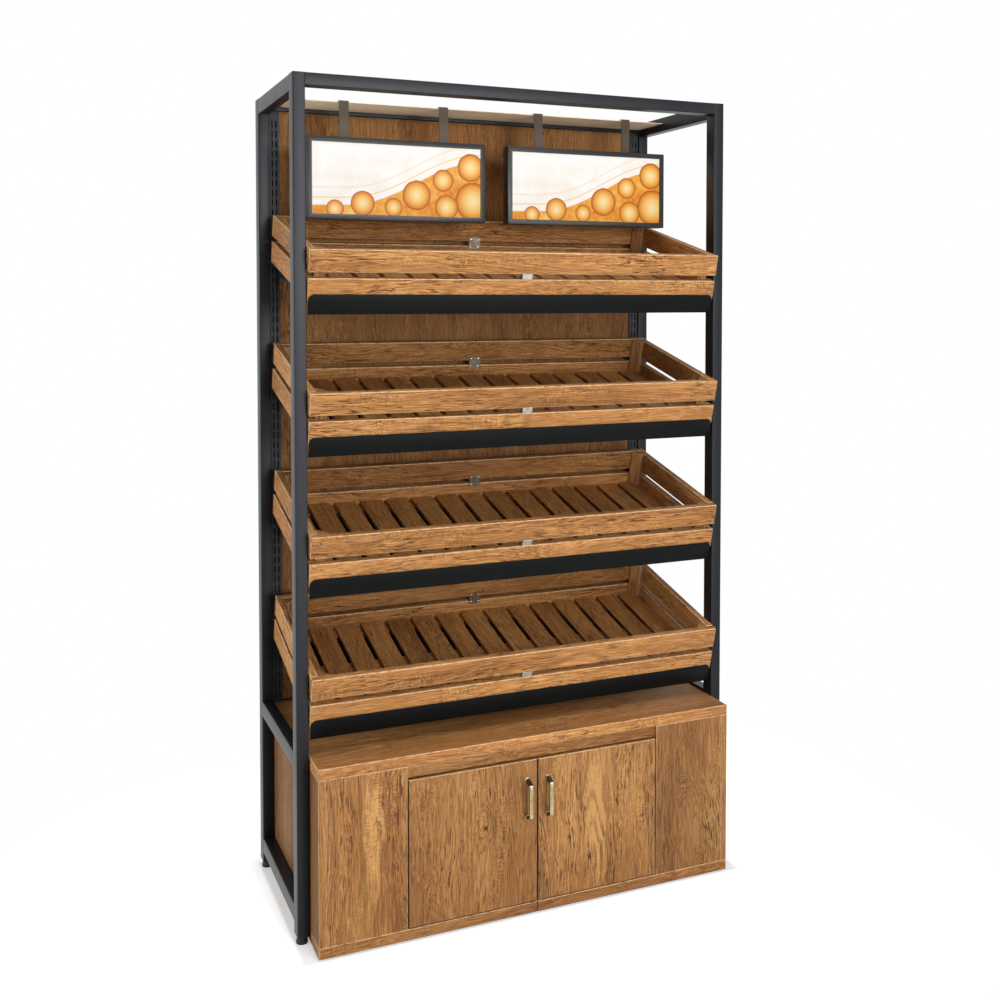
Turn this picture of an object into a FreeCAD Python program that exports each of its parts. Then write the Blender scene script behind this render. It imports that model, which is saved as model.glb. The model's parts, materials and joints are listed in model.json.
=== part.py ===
"""Bakery bread rack: a steel tube frame with four sloping crates above a low cupboard.

Millimetres, +Z up, front towards -Y. The origin is on the floor, under the middle of the
whole object. Each call of write() stores one sub-part as parts/NAME.step.
"""
import FreeCAD, Part
import math
import os

from FreeCAD import Vector

os.makedirs("parts", exist_ok=True)

# ---- driving dimensions: tube frame ----
FRAME_WIDTH = 1200.0
FRAME_DEPTH = 455.0
FRAME_HEIGHT = 2105.0
TUBE_NARROW = 30.0          # tube side seen from the front
TUBE_WIDE = 40.0            # tube side seen from the end
TUBE_WALL = 1.5
TUBE_CORNER = 1.5           # bevel of the outer corners
UPRIGHT_FOOT_GAP = 23.0     # floor to the lower end of an upright
MID_RAIL_RISE = 6.0         # top of the middle side rails above the cupboard
LOW_RAIL_TOP = 87.0
REAR_RAIL_DROP = 5.0        # middle rear rail below the middle side rails

# ---- levelling feet ----
FOOT_HEX_R = 15.0           # over the corners
FOOT_HEX_H = 14.0
STEM_R = 5.0
STEM_TOP = 62.0
STEM_CLEARANCE = 0.05
PLUG_FLANGE = 3.0
PLUG_DEPTH = 20.0

# ---- slotted standards and the back panel ----
STANDARD_WIDTH = 28.0
STANDARD_DEPTH = 20.0
STANDARD_SHEET = 2.0
STANDARD_SETBACK = 7.5      # behind the front face of the rear uprights
SLOT_BRIDGE = 7.9           # metal left between two slots
SLOT_WIDTH = 4.0
SLOT_COLUMN_SPACING = 11.0
SLOT_END_MARGIN = 11.0      # least distance from a slot to the end of its standard
PANEL_THICK = 16.0
PANEL_SETBACK = 5.0         # behind the face of the standards
PANEL_SIDE_GAP = 1.0

# ---- sign shelf, straps and light boxes ----
SIGN_SHELF_DEPTH = 140.0
SIGN_SHELF_SHEET = 2.0
SIGN_SHELF_DROP = 19.0      # underside below the top of the frame
STRAP_WIDTH = 26.0
STRAP_SHEET = 3.0
STRAP_SPACING = 280.0       # the two straps of one sign, centre to centre
STRAP_HOOK = 30.0
STRAP_OVERLAP = 70.0        # length behind the sign
SIGN_WIDTH = 498.0
SIGN_HEIGHT = 215.0
SIGN_DEPTH = 35.0
SIGN_GAP = 67.0             # between the two signs
SIGN_SHIFT = 20.5           # middle of the pair, to the right of the frame's middle
SIGN_DROP = 114.5           # top of a sign below the top of the frame
SIGN_WALL = 2.0
SIGN_LIP = 14.0
SIGN_FACE_THICK = 3.0
SIGN_BACK_THICK = 2.0
SIGN_FACE_RECESS = 1.0
LED_WIDTH = 12.0
LED_THICK = 2.0
LED_ROWS = 2
SOCKET_SIDE = 12.0
SOCKET_RIM = 2.0
SOCKET_LENGTH = 8.0
SOCKET_HOLE = 7.0

# ---- crates ----
CRATE_COUNT = 4
CRATE_STEP_SLOTS = 13       # slots from one crate to the next
CRATE_ABOVE_CUPBOARD = 179.4    # rear lower edge of the lowest crate
CRATE_BELOW_SIGNS = 106.5       # rear lower edge of the top crate
SLOPE = 14.5                # degrees, falling towards the front
CRATE_SIDE_GAP = 2.0        # to the uprights
CRATE_LENGTH = 429.0        # along the slope, outside
BOARD_HEIGHT = 57.0
BOARD_GAP = 14.0
BOARD_THICK = 18.0
POST_SIZE = 28.0
POST_CHAMFER = 20.0
POST_DROP = 1.0             # below the upper edge of the boards
SLAT_COUNT = 15
SLAT_GAP = 14.0
SLAT_THICK = 12.0
BATTEN_THICK = 15.0
BATTEN_WIDTH = 40.0
BATTEN_COUNT = 3
TIE_PLATE = 34.0
TIE_PLATE_THICK = 1.2
TIE_PLATE_CORNER = 3.0
TIE_PLATE_FRONT_X = 3.0
TIE_PLATE_REAR_X = 13.0
TIE_TONGUE_WIDTH = 28.0     # tongue of the front plate, in the gap between the boards
TIE_TONGUE_SETBACK = 1.0    # behind the front face of the boards
SEAT_GAP = 0.3              # between a crate and the shelf under it
CRATE_BACK_GAP = 3.0        # rear edge of a crate to the face of the standards

# ---- shelves and brackets ----
SHELF_SHEET = 1.5
SHELF_FOLD = 22.0
SHELF_SETBACK = 4.0         # rear fold in front of the crate's rear face
LIP_INSET = 3.0             # lip end inside the end of its crate
LIP_SHEET = 2.0
LIP_RISE = 18.0
LIP_DROP = 32.0
LIP_CORNER = 15.0
LIP_GAP = 1.0
BRACKET_SHEET = 2.5         # fits the width of a slot
BRACKET_REACH = 340.0
BRACKET_REAR_HEIGHT = 34.0
BRACKET_FRONT_HEIGHT = 12.0
BRACKET_NECK_HEIGHT = 61.6
BRACKET_NECK_DEPTH = 14.0
BRACKET_NECK_DROP = 4.2     # top of the neck below the crate
HOOK_REACH = 8.0
HOOK_TOOTH = 5.0
HOOK_ROOM = 0.5             # left when a hook is lifted by its tooth in its slot
HOOK_BEHIND = 0.3           # hook tooth to the back of the slotted web
HOOK_ROWS = 2

# ---- cupboard ----
CABINET_SIDE_GAP = 2.0      # filled by the packers
PACKER_LENGTH = 40.0
PACKER_HEIGHT = 20.0
PACKER_INSET = 60.0         # end of the side rail to the middle of a packer
CABINET_OVERHANG = 82.0     # in front of the frame
CABINET_HEIGHT = 460.0
CABINET_REAR_GAP = 0.5      # to the slotted standards
GLIDE_H = 4.0
GLIDE_SIDE = 30.0
GLIDE_INSET = 45.0
TOP_BOARD = 27.0
BASE_BOARD = 27.0
SIDE_BOARD = 18.0
FRONT_BOARD = 18.0
BACK_BOARD = 9.0
BASE_SEAM = 1.0
EDGE_BEVEL = 1.0
DOOR_OPENING = 694.0        # between the fixed fronts
DOOR_GAP = 2.5
DOOR_TOP_GAP = 4.0
HEAD_RAIL_HEIGHT = 30.0
HEAD_RAIL_RECESS = 8.0
STILE_DEPTH = 110.0

# ---- concealed hinges ----
CUP_R = 17.5
CUP_DEPTH = 11.5
CUP_WALL = 1.5
CUP_FLANGE_LENGTH = 58.0
CUP_FLANGE_WIDTH = 40.0
CUP_FLANGE = 1.2
CUP_BORE_CLEARANCE = 0.1
CUP_FROM_EDGE = 22.0
HINGE_FROM_END = 62.0
ARM_WIDTH = 14.0
ARM_THICK = 6.0
ARM_GAP = 0.4               # arm to cup flange
ARM_LENGTH = 58.0
HINGE_PLATE_THICK = 3.0
HINGE_PLATE_LENGTH = 44.0
HINGE_PLATE_HEIGHT = 34.0
HINGE_PLATE_SETBACK = 8.0

# ---- bow handles ----
HANDLE_REACH = 28.0
HANDLE_CENTRES = 98.0
HANDLE_BAR_LENGTH = 80.0
HANDLE_BAR = 8.0
HANDLE_WIDTH = 10.0
HANDLE_CHAMFER = 2.2
HANDLE_FOOT_R = 6.5
HANDLE_FOOT_H = 3.0
HANDLE_FROM_EDGE = 27.0
HANDLE_MID_Z = 302.0

# ---- places that follow from the sizes above ----
OVERALL_DEPTH = FRAME_DEPTH + CABINET_OVERHANG + HANDLE_REACH
FRAME_BACK = OVERALL_DEPTH / 2
FRAME_FRONT = FRAME_BACK - FRAME_DEPTH
HALF_WIDTH = FRAME_WIDTH / 2
INNER_HALF = HALF_WIDTH - TUBE_NARROW
REAR_UPRIGHT_FACE = FRAME_BACK - TUBE_WIDE
STANDARD_FACE = REAR_UPRIGHT_FACE + STANDARD_SETBACK
STANDARD_X = INNER_HALF - STANDARD_WIDTH / 2
CROSS_RAIL_BOTTOM = FRAME_HEIGHT - TUBE_NARROW
MID_RAIL_TOP = CABINET_HEIGHT + MID_RAIL_RISE
REAR_MID_RAIL_TOP = MID_RAIL_TOP - REAR_RAIL_DROP
CRATE_HALF = INNER_HALF - CRATE_SIDE_GAP
CRATE_HEIGHT = 2 * BOARD_HEIGHT + BOARD_GAP
CRATE_BACK = STANDARD_FACE - CRATE_BACK_GAP
SIGN_TOP = FRAME_HEIGHT - SIGN_DROP
SIGN_BOTTOM = SIGN_TOP - SIGN_HEIGHT
CRATE_LOWEST = CABINET_HEIGHT + CRATE_ABOVE_CUPBOARD
CRATE_STEP = (SIGN_BOTTOM - CRATE_BELOW_SIGNS - CRATE_LOWEST) / (CRATE_COUNT - 1)
SLOT_PITCH = CRATE_STEP / CRATE_STEP_SLOTS
SLOT_HEIGHT = SLOT_PITCH - SLOT_BRIDGE
HOOK_HEIGHT = SLOT_HEIGHT - HOOK_TOOTH - HOOK_ROOM
CRATE_FLOOR = BATTEN_THICK + SLAT_THICK
BRACKET_X = STANDARD_X - SLOT_COLUMN_SPACING / 2
DECK_HALF = BRACKET_X - BRACKET_SHEET / 2
CABINET_HALF = INNER_HALF - CABINET_SIDE_GAP
CABINET_FRONT = FRAME_FRONT - CABINET_OVERHANG
CABINET_BACK = STANDARD_FACE - CABINET_REAR_GAP
BASE_TOP = GLIDE_H + BASE_BOARD
TOP_UNDER = CABINET_HEIGHT - TOP_BOARD
OPENING_HALF = DOOR_OPENING / 2
DOOR_TOP = TOP_UNDER - HEAD_RAIL_HEIGHT - DOOR_TOP_GAP
DOOR_BOTTOM = BASE_TOP + DOOR_GAP
DOOR_OUTER = OPENING_HALF - DOOR_GAP
DOOR_BACK = CABINET_FRONT + FRONT_BOARD
SIDES = (-1, 1)


def box(x, y, z):
    """Block between pairs of coordinates."""
    low = Vector(min(x), min(y), min(z))
    return Part.makeBox(abs(x[1] - x[0]), abs(y[1] - y[0]), abs(z[1] - z[0]), low)


def cylinder(radius, height, base, axis=Vector(0, 0, 1)):
    return Part.makeCylinder(radius, height, base, axis)


def prism_x(outline, x):
    """Outline of (y, z) points, drawn out between two x coordinates."""
    points = [Vector(min(x), y, z) for y, z in outline]
    face = Part.Face(Part.makePolygon(points + points[:1]))
    return face.extrude(Vector(abs(x[1] - x[0]), 0, 0))


def mirrored(shape):
    """The same piece on the other side of the middle plane."""
    return shape.mirror(Vector(0, 0, 0), Vector(1, 0, 0))


def on_both_sides(shape):
    return [mirrored(shape), shape]


def edges_along(shape, axis):
    """Straight edges that run along one axis, on the outer corners of the shape's box."""
    found = []
    limits = shape.BoundBox
    cross = [i for i in range(3) if i != axis]
    low = (limits.XMin, limits.YMin, limits.ZMin)
    high = (limits.XMax, limits.YMax, limits.ZMax)
    for edge in shape.Edges:
        first, last = edge.Vertexes[0].Point, edge.Vertexes[-1].Point
        straight = all(abs(first[i] - last[i]) < 1e-6 for i in cross)
        corner = all(min(abs(first[i] - low[i]), abs(first[i] - high[i])) < 1e-6 for i in cross)
        if straight and corner:
            found.append(edge)
    return found


def bevelled(shape, size, axes):
    """Break the outer edges that run along the given axes."""
    edges = [edge for axis in axes for edge in edges_along(shape, axis)]
    return shape.makeChamfer(size, edges)


def tube(x, y, z, axis, closed_top=False):
    """Rectangular steel tube along one axis with broken corners and open ends."""
    outer = bevelled(box(x, y, z), TUBE_CORNER, (axis,))
    hollow = [list(x), list(y), list(z)]
    for i in range(3):
        if i != axis:
            hollow[i] = [min(hollow[i]) + TUBE_WALL, max(hollow[i]) - TUBE_WALL]
    if closed_top:
        hollow[2][1] -= TUBE_WALL
    return outer.cut(box(*hollow))


def write(name, *solids):
    shape = solids[0] if len(solids) == 1 else Part.makeCompound(list(solids))
    shape.exportStep("parts/" + name + ".step")


# ---------------------------------------------------------------- tube frame
def upright(side, y):
    x = (side * INNER_HALF, side * HALF_WIDTH)
    return tube(x, (y, y + TUBE_WIDE), (UPRIGHT_FOOT_GAP, FRAME_HEIGHT), 2, closed_top=True)


def side_rail(side, top):
    x = (side * INNER_HALF, side * HALF_WIDTH)
    y = (FRAME_FRONT + TUBE_WIDE, REAR_UPRIGHT_FACE)
    return tube(x, y, (top - TUBE_WIDE, top), 1)


def top_cross_rail(y):
    """Rail between two uprights, as deep as they are."""
    return tube((-INNER_HALF, INNER_HALF), (y, y + TUBE_WIDE), (CROSS_RAIL_BOTTOM, FRAME_HEIGHT), 0)


def rear_cross_rail(top):
    """Rail on edge behind the cupboard, flush with the back of the frame."""
    return tube((-INNER_HALF, INNER_HALF), (FRAME_BACK - TUBE_NARROW, FRAME_BACK),
                (top - TUBE_WIDE, top), 0)


def upright_plug(x, y):
    """Plastic plug in the lower end of an upright, bored for the foot's stem."""
    half_x = TUBE_NARROW / 2
    half_y = TUBE_WIDE / 2
    under = UPRIGHT_FOOT_GAP - PLUG_FLANGE
    flange = box((x - half_x, x + half_x), (y - half_y, y + half_y), (under, UPRIGHT_FOOT_GAP))
    body = box((x - half_x + TUBE_WALL, x + half_x - TUBE_WALL),
               (y - half_y + TUBE_WALL, y + half_y - TUBE_WALL),
               (under, UPRIGHT_FOOT_GAP + PLUG_DEPTH))
    bore = cylinder(STEM_R + STEM_CLEARANCE, PLUG_FLANGE + PLUG_DEPTH, Vector(x, y, under))
    return flange.fuse(body).removeSplitter().cut(bore)


def levelling_foot(x, y):
    """Hexagonal foot on a threaded stem."""
    corners = [Vector(x + FOOT_HEX_R * math.cos(k * math.pi / 3),
                      y + FOOT_HEX_R * math.sin(k * math.pi / 3), 0) for k in range(6)]
    base = Part.Face(Part.makePolygon(corners + corners[:1])).extrude(Vector(0, 0, FOOT_HEX_H))
    stem = cylinder(STEM_R, STEM_TOP - FOOT_HEX_H, Vector(x, y, FOOT_HEX_H))
    return base.fuse(stem).removeSplitter()


def build_frame():
    for depth_name, y in (("front", FRAME_FRONT), ("rear", REAR_UPRIGHT_FACE)):
        for side_name, side in zip(("left", "right"), SIDES):
            write(depth_name + "_" + side_name + "_upright", upright(side, y))
            foot_x = side * (HALF_WIDTH - TUBE_NARROW / 2)
            write("foot_" + depth_name + "_" + side_name, levelling_foot(foot_x, y + TUBE_WIDE / 2))
    for side_name, side in zip(("left", "right"), SIDES):
        tops = (FRAME_HEIGHT, MID_RAIL_TOP, LOW_RAIL_TOP)
        write(side_name + "_side_rails", *[side_rail(side, top) for top in tops])
    write("top_front_rail", top_cross_rail(FRAME_FRONT))
    write("rear_cross_rails", top_cross_rail(REAR_UPRIGHT_FACE),
          rear_cross_rail(REAR_MID_RAIL_TOP), rear_cross_rail(LOW_RAIL_TOP))
    plug_x = HALF_WIDTH - TUBE_NARROW / 2
    plug_rows = (FRAME_FRONT + TUBE_WIDE / 2, REAR_UPRIGHT_FACE + TUBE_WIDE / 2)
    write("upright_plugs", *[upright_plug(side * plug_x, y) for side in SIDES for y in plug_rows])


# ------------------------------------------- slotted standards and back panel
def crate_height(number):
    """Height of the rear lower edge of a crate above the floor; crate 1 is at the top."""
    return CRATE_LOWEST + (CRATE_COUNT - number) * CRATE_STEP


def bracket_low(number):
    """Lower end of a crate's brackets; the teeth of their lowest hooks end level with it."""
    return crate_height(number) - BRACKET_NECK_DROP - BRACKET_NECK_HEIGHT


def hook_seat(number, row):
    """Lower end of the slot that takes one hook of a crate's brackets, counted from below."""
    return bracket_low(number) + HOOK_TOOTH + row * SLOT_PITCH


def slot_rows():
    """Heights of the lower ends of the slots, spaced up and down from the lowest hook."""
    start = hook_seat(CRATE_COUNT, 0)
    below = int((start - REAR_MID_RAIL_TOP - SLOT_END_MARGIN) / SLOT_PITCH)
    above = int((CROSS_RAIL_BOTTOM - SLOT_END_MARGIN - SLOT_HEIGHT - start) / SLOT_PITCH)
    return [start + row * SLOT_PITCH for row in range(-below, above + 1)]


def slotted_standard():
    """Tube with two columns of slots in its front, on the right-hand side."""
    half = STANDARD_WIDTH / 2
    z = (REAR_MID_RAIL_TOP, CROSS_RAIL_BOTTOM)
    y = (STANDARD_FACE, STANDARD_FACE + STANDARD_DEPTH)
    whole = box((STANDARD_X - half, STANDARD_X + half), y, z)
    hollow = box((STANDARD_X - half + STANDARD_SHEET, STANDARD_X + half - STANDARD_SHEET),
                 (STANDARD_FACE + STANDARD_SHEET, y[1] - STANDARD_SHEET), z)
    slots = []
    for column in SIDES:
        x = STANDARD_X + column * SLOT_COLUMN_SPACING / 2
        for low in slot_rows():
            slots.append(box((x - SLOT_WIDTH / 2, x + SLOT_WIDTH / 2),
                             (STANDARD_FACE, STANDARD_FACE + STANDARD_SHEET),
                             (low, low + SLOT_HEIGHT)))
    return whole.cut(hollow).cut(Part.makeCompound(slots))


def back_panel():
    half = INNER_HALF - STANDARD_WIDTH - PANEL_SIDE_GAP
    face = STANDARD_FACE + PANEL_SETBACK
    return box((-half, half), (face, face + PANEL_THICK),
               (REAR_MID_RAIL_TOP, CROSS_RAIL_BOTTOM))


def build_back():
    write("slotted_standards", *on_both_sides(slotted_standard()))
    write("back_panel", back_panel())


# ------------------------------------------------- sign shelf and light boxes
SHELF_FRONT_Y = REAR_UPRIGHT_FACE - SIGN_SHELF_DEPTH
SHELF_UNDER_Z = FRAME_HEIGHT - SIGN_SHELF_DROP
SIGN_BACK_Y = SHELF_FRONT_Y - STRAP_SHEET
SIGN_FRONT_Y = SIGN_BACK_Y - SIGN_DEPTH
SIGN_CENTRES = [SIGN_SHIFT + side * (SIGN_GAP + SIGN_WIDTH) / 2 for side in SIDES]
SIGN_FACE_Y = SIGN_FRONT_Y + SIGN_WALL + SIGN_FACE_RECESS


def sign_block(x, inset, y):
    """Block of a sign's outline about its centre, made smaller all round by the inset."""
    half = SIGN_WIDTH / 2 - inset
    return box((x - half, x + half), y, (SIGN_BOTTOM + inset, SIGN_TOP - inset))


def sign_case(x):
    """Frame of the light box: four mitred members, each a wall with a lip in front of the face."""
    outer = bevelled(sign_block(x, 0, (SIGN_FRONT_Y, SIGN_BACK_Y)), EDGE_BEVEL, (1,))
    inside = sign_block(x, SIGN_WALL, (SIGN_FRONT_Y + SIGN_WALL, SIGN_BACK_Y))
    window = sign_block(x, SIGN_LIP, (SIGN_FRONT_Y, SIGN_FRONT_Y + SIGN_WALL))
    ring = outer.cut(inside).cut(window)
    half = SIGN_WIDTH / 2
    outside = [(x - half, SIGN_BOTTOM), (x + half, SIGN_BOTTOM), (x + half, SIGN_TOP), (x - half, SIGN_TOP)]
    turns = [(1, 1), (-1, 1), (-1, -1), (1, -1)]
    reach = SIGN_HEIGHT / 2
    inner = [(px + dx * reach, pz + dz * reach) for (px, pz), (dx, dz) in zip(outside, turns)]
    members = []
    for i in range(4):
        j = (i + 1) % 4
        corners = [outside[i], outside[j], inner[j], inner[i]]
        points = [Vector(px, SIGN_FRONT_Y, pz) for px, pz in corners]
        points = [point for k, point in enumerate(points) if (point - points[k - 1]).Length > 1e-6]
        sector = Part.Face(Part.makePolygon(points + points[:1])).extrude(Vector(0, SIGN_DEPTH, 0))
        members.append(ring.common(sector))
    return members


def sign_socket(x):
    """Low-voltage power socket low on the back of a sign."""
    half = SOCKET_SIDE / 2
    z = SIGN_BOTTOM + SIGN_LIP + SOCKET_SIDE
    end = SIGN_BACK_Y + SOCKET_LENGTH
    body = box((x - half, x + half), (SIGN_BACK_Y, end), (z - half, z + half))
    inner = half - SOCKET_RIM
    return body.cut(box((x - inner, x + inner), (end - SOCKET_HOLE, end), (z - inner, z + inner)))


def light_strips(x):
    """Light strips on the inside of the back plate, one above the other."""
    strips = []
    y = SIGN_BACK_Y - SIGN_BACK_THICK
    half = SIGN_WIDTH / 2 - SIGN_LIP
    for row in range(LED_ROWS):
        z = SIGN_BOTTOM + SIGN_HEIGHT * (row + 1) / (LED_ROWS + 1)
        strips.append(box((x - half, x + half), (y - LED_THICK, y), (z - LED_WIDTH / 2, z + LED_WIDTH / 2)))
    return strips


def strap(x):
    """Flat strap behind a sign, bent back over the front edge of the sign shelf."""
    half = STRAP_WIDTH / 2
    shelf_top = SHELF_UNDER_Z + SIGN_SHELF_SHEET
    outline = [(SIGN_BACK_Y, SIGN_TOP - STRAP_OVERLAP),
               (SHELF_FRONT_Y, SIGN_TOP - STRAP_OVERLAP),
               (SHELF_FRONT_Y, shelf_top),
               (SHELF_FRONT_Y + STRAP_HOOK, shelf_top),
               (SHELF_FRONT_Y + STRAP_HOOK, shelf_top + STRAP_SHEET),
               (SIGN_BACK_Y, shelf_top + STRAP_SHEET)]
    return prism_x(outline, (x - half, x + half))


def build_signs():
    write("sign_shelf", box((-INNER_HALF, INNER_HALF), (SHELF_FRONT_Y, REAR_UPRIGHT_FACE),
                            (SHELF_UNDER_Z, SHELF_UNDER_Z + SIGN_SHELF_SHEET)))
    write("sign_straps", *[strap(x + column * STRAP_SPACING / 2)
                           for x in SIGN_CENTRES for column in SIDES])
    write("sign_cases", *[member for x in SIGN_CENTRES for member in sign_case(x)])
    face_y = (SIGN_FACE_Y, SIGN_FACE_Y + SIGN_FACE_THICK)
    write("sign_faces", *[sign_block(x, SIGN_WALL, face_y) for x in SIGN_CENTRES])
    back_y = (SIGN_BACK_Y - SIGN_BACK_THICK, SIGN_BACK_Y)
    write("sign_back_plates", *[sign_block(x, SIGN_WALL, back_y) for x in SIGN_CENTRES])
    write("sign_light_strips", *[strip for x in SIGN_CENTRES for strip in light_strips(x)])
    write("sign_power_sockets", *[sign_socket(x) for x in SIGN_CENTRES])


# ------------------------------------------------------------------- crates
# A crate and its shelf are drawn level, with the crate's rear lower edge at y = 0, z = 0,
# and then turned to the slope and put in place.
def on_slope(shape, number):
    """Turn a level piece to the slope and lift it to its crate's height."""
    turned = shape.copy()
    turned.rotate(Vector(0, 0, 0), Vector(1, 0, 0), SLOPE)
    turned.translate(Vector(0, CRATE_BACK, crate_height(number)))
    return turned


def crate_boards():
    """Two boards one above the other on each of the four sides."""
    boards = []
    half = CRATE_HALF
    for low in (0, BOARD_HEIGHT + BOARD_GAP):
        z = (low + SEAT_GAP, low + BOARD_HEIGHT)
        for front in (-CRATE_LENGTH, -BOARD_THICK):
            boards.append(box((-half, half), (front, front + BOARD_THICK), z))
        side_board = box((half - BOARD_THICK, half), (-CRATE_LENGTH + BOARD_THICK, -BOARD_THICK), z)
        boards.extend(on_both_sides(side_board))
    return boards


def crate_posts():
    """Corner posts on the floor inside the boards, with their inner corner cut off."""
    posts = []
    x_outer = CRATE_HALF - BOARD_THICK
    x_inner = x_outer - POST_SIZE
    for y_outer, inward in ((-CRATE_LENGTH + BOARD_THICK, 1), (-BOARD_THICK, -1)):
        y_inner = y_outer + inward * POST_SIZE
        outline = [(x_outer, y_outer), (x_outer, y_inner), (x_inner + POST_CHAMFER, y_inner),
                   (x_inner, y_inner - inward * POST_CHAMFER), (x_inner, y_outer)]
        points = [Vector(x, y, CRATE_FLOOR) for x, y in outline]
        face = Part.Face(Part.makePolygon(points + points[:1]))
        rise = CRATE_HEIGHT - POST_DROP - CRATE_FLOOR
        posts.extend(on_both_sides(face.extrude(Vector(0, 0, rise))))
    return posts


def crate_floor():
    """Battens on the shelf, and slats across them from front to back."""
    half = CRATE_HALF - BOARD_THICK
    front = -CRATE_LENGTH + BOARD_THICK
    back = -BOARD_THICK
    batten_step = (back - front - BATTEN_WIDTH) / (BATTEN_COUNT - 1)
    battens = [box((-half, half), (front + row * batten_step, front + row * batten_step + BATTEN_WIDTH),
                   (SEAT_GAP, BATTEN_THICK)) for row in range(BATTEN_COUNT)]
    slat_width = (2 * half - (SLAT_COUNT - 1) * SLAT_GAP) / SLAT_COUNT
    slat_lefts = [-half + row * (slat_width + SLAT_GAP) for row in range(SLAT_COUNT)]
    slats = [box((left, left + slat_width), (front, back), (BATTEN_THICK, CRATE_FLOOR))
             for left in slat_lefts]
    return battens + slats


def tie_plate(x, board_face, inward):
    """Square plate over the gap between two boards."""
    mid = BOARD_HEIGHT + BOARD_GAP / 2
    half = TIE_PLATE / 2
    plate = box((x - half, x + half), (board_face, board_face + inward * TIE_PLATE_THICK),
                (mid - half, mid + half))
    return bevelled(plate, TIE_PLATE_CORNER, (1,))


def front_tie_plate():
    """Front plate, with a tongue that keeps the two boards apart and ends near their faces."""
    face = -CRATE_LENGTH + BOARD_THICK
    half = TIE_TONGUE_WIDTH / 2
    tongue = box((TIE_PLATE_FRONT_X - half, TIE_PLATE_FRONT_X + half),
                 (-CRATE_LENGTH + TIE_TONGUE_SETBACK, face),
                 (BOARD_HEIGHT, BOARD_HEIGHT + BOARD_GAP + SEAT_GAP))
    return tie_plate(TIE_PLATE_FRONT_X, face, 1).fuse(tongue).removeSplitter()


def build_crates():
    pieces = {
        "boards": crate_boards(),
        "posts": crate_posts(),
        "floor": crate_floor(),
        "tie_plates": [front_tie_plate(), tie_plate(TIE_PLATE_REAR_X, -BOARD_THICK, -1)],
    }
    for number in range(1, CRATE_COUNT + 1):
        for name, solids in pieces.items():
            write("crate_%d_%s" % (number, name), *[on_slope(solid, number) for solid in solids])


# --------------------------------------------------------- shelves and brackets
def shelf_deck():
    """Sheet between the two brackets, with its four edges folded down."""
    front = -CRATE_LENGTH - LIP_GAP
    back = -SHELF_SETBACK
    block = box((-DECK_HALF, DECK_HALF), (front, back), (-SHELF_FOLD, 0))
    inside = box((-DECK_HALF + SHELF_SHEET, DECK_HALF - SHELF_SHEET),
                 (front + SHELF_SHEET, back - SHELF_SHEET), (-SHELF_FOLD, -SHELF_SHEET))
    return block.cut(inside)


def shelf_lip():
    half = CRATE_HALF - LIP_INSET
    front = -CRATE_LENGTH - LIP_GAP
    plate = box((-half, half), (front - LIP_SHEET, front), (-LIP_DROP, LIP_RISE))
    corners = [edge for edge in edges_along(plate, 1) if edge.Vertexes[0].Point.z > 0]
    return plate.makeFillet(LIP_CORNER, corners)


def bracket(number):
    """Right-hand bracket, one sheet: arm beside the deck, neck, and hooks in the inner slots."""
    x = (DECK_HALF, DECK_HALF + BRACKET_SHEET)
    outline = [(0, -SHELF_SHEET), (0, -BRACKET_REAR_HEIGHT),
               (-BRACKET_REACH, -BRACKET_FRONT_HEIGHT), (-BRACKET_REACH, -SHELF_SHEET)]
    arm = on_slope(prism_x(outline, x), number)
    low = bracket_low(number)
    neck = box(x, (STANDARD_FACE - BRACKET_NECK_DEPTH, STANDARD_FACE), (low, low + BRACKET_NECK_HEIGHT))
    behind = box(x, (STANDARD_FACE, STANDARD_FACE + BRACKET_REAR_HEIGHT), (low, crate_height(number)))
    sheet = arm.cut(behind).fuse(neck)
    tooth_back = STANDARD_FACE + HOOK_REACH
    tooth_front = STANDARD_FACE + STANDARD_SHEET + HOOK_BEHIND
    for row in range(HOOK_ROWS):
        seat = hook_seat(number, row)
        outline = [(STANDARD_FACE, seat + HOOK_HEIGHT), (tooth_back, seat + HOOK_HEIGHT),
                   (tooth_back, seat - HOOK_TOOTH), (tooth_front, seat - HOOK_TOOTH),
                   (tooth_front, seat), (STANDARD_FACE, seat)]
        sheet = sheet.fuse(prism_x(outline, x))
    return sheet.removeSplitter()


def build_shelves():
    brackets = []
    for number in range(1, CRATE_COUNT + 1):
        write("shelf_%d" % number, on_slope(shelf_deck(), number), on_slope(shelf_lip(), number))
        brackets.extend(on_both_sides(bracket(number)))
    write("shelf_brackets", *brackets)


# ------------------------------------------------------------------ cupboard
def cabinet_glides():
    glides = []
    rows = (CABINET_FRONT + GLIDE_INSET, CABINET_BACK - GLIDE_INSET)
    columns = (-CABINET_HALF + GLIDE_INSET, -GLIDE_INSET, GLIDE_INSET, CABINET_HALF - GLIDE_INSET)
    for x in columns:
        for y in rows:
            half = GLIDE_SIDE / 2
            glides.append(box((x - half, x + half), (y - half, y + half), (0, GLIDE_H)))
    return glides


def cabinet_packers():
    """Pads that wedge the cupboard between the side rails of the frame."""
    z_mid = CABINET_HEIGHT - TOP_BOARD / 2
    pads = []
    for y in (FRAME_FRONT + TUBE_WIDE + PACKER_INSET, REAR_UPRIGHT_FACE - PACKER_INSET):
        pad = box((CABINET_HALF, INNER_HALF), (y - PACKER_LENGTH / 2, y + PACKER_LENGTH / 2),
                  (z_mid - PACKER_HEIGHT / 2, z_mid + PACKER_HEIGHT / 2))
        pads.extend(on_both_sides(pad))
    return pads


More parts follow.
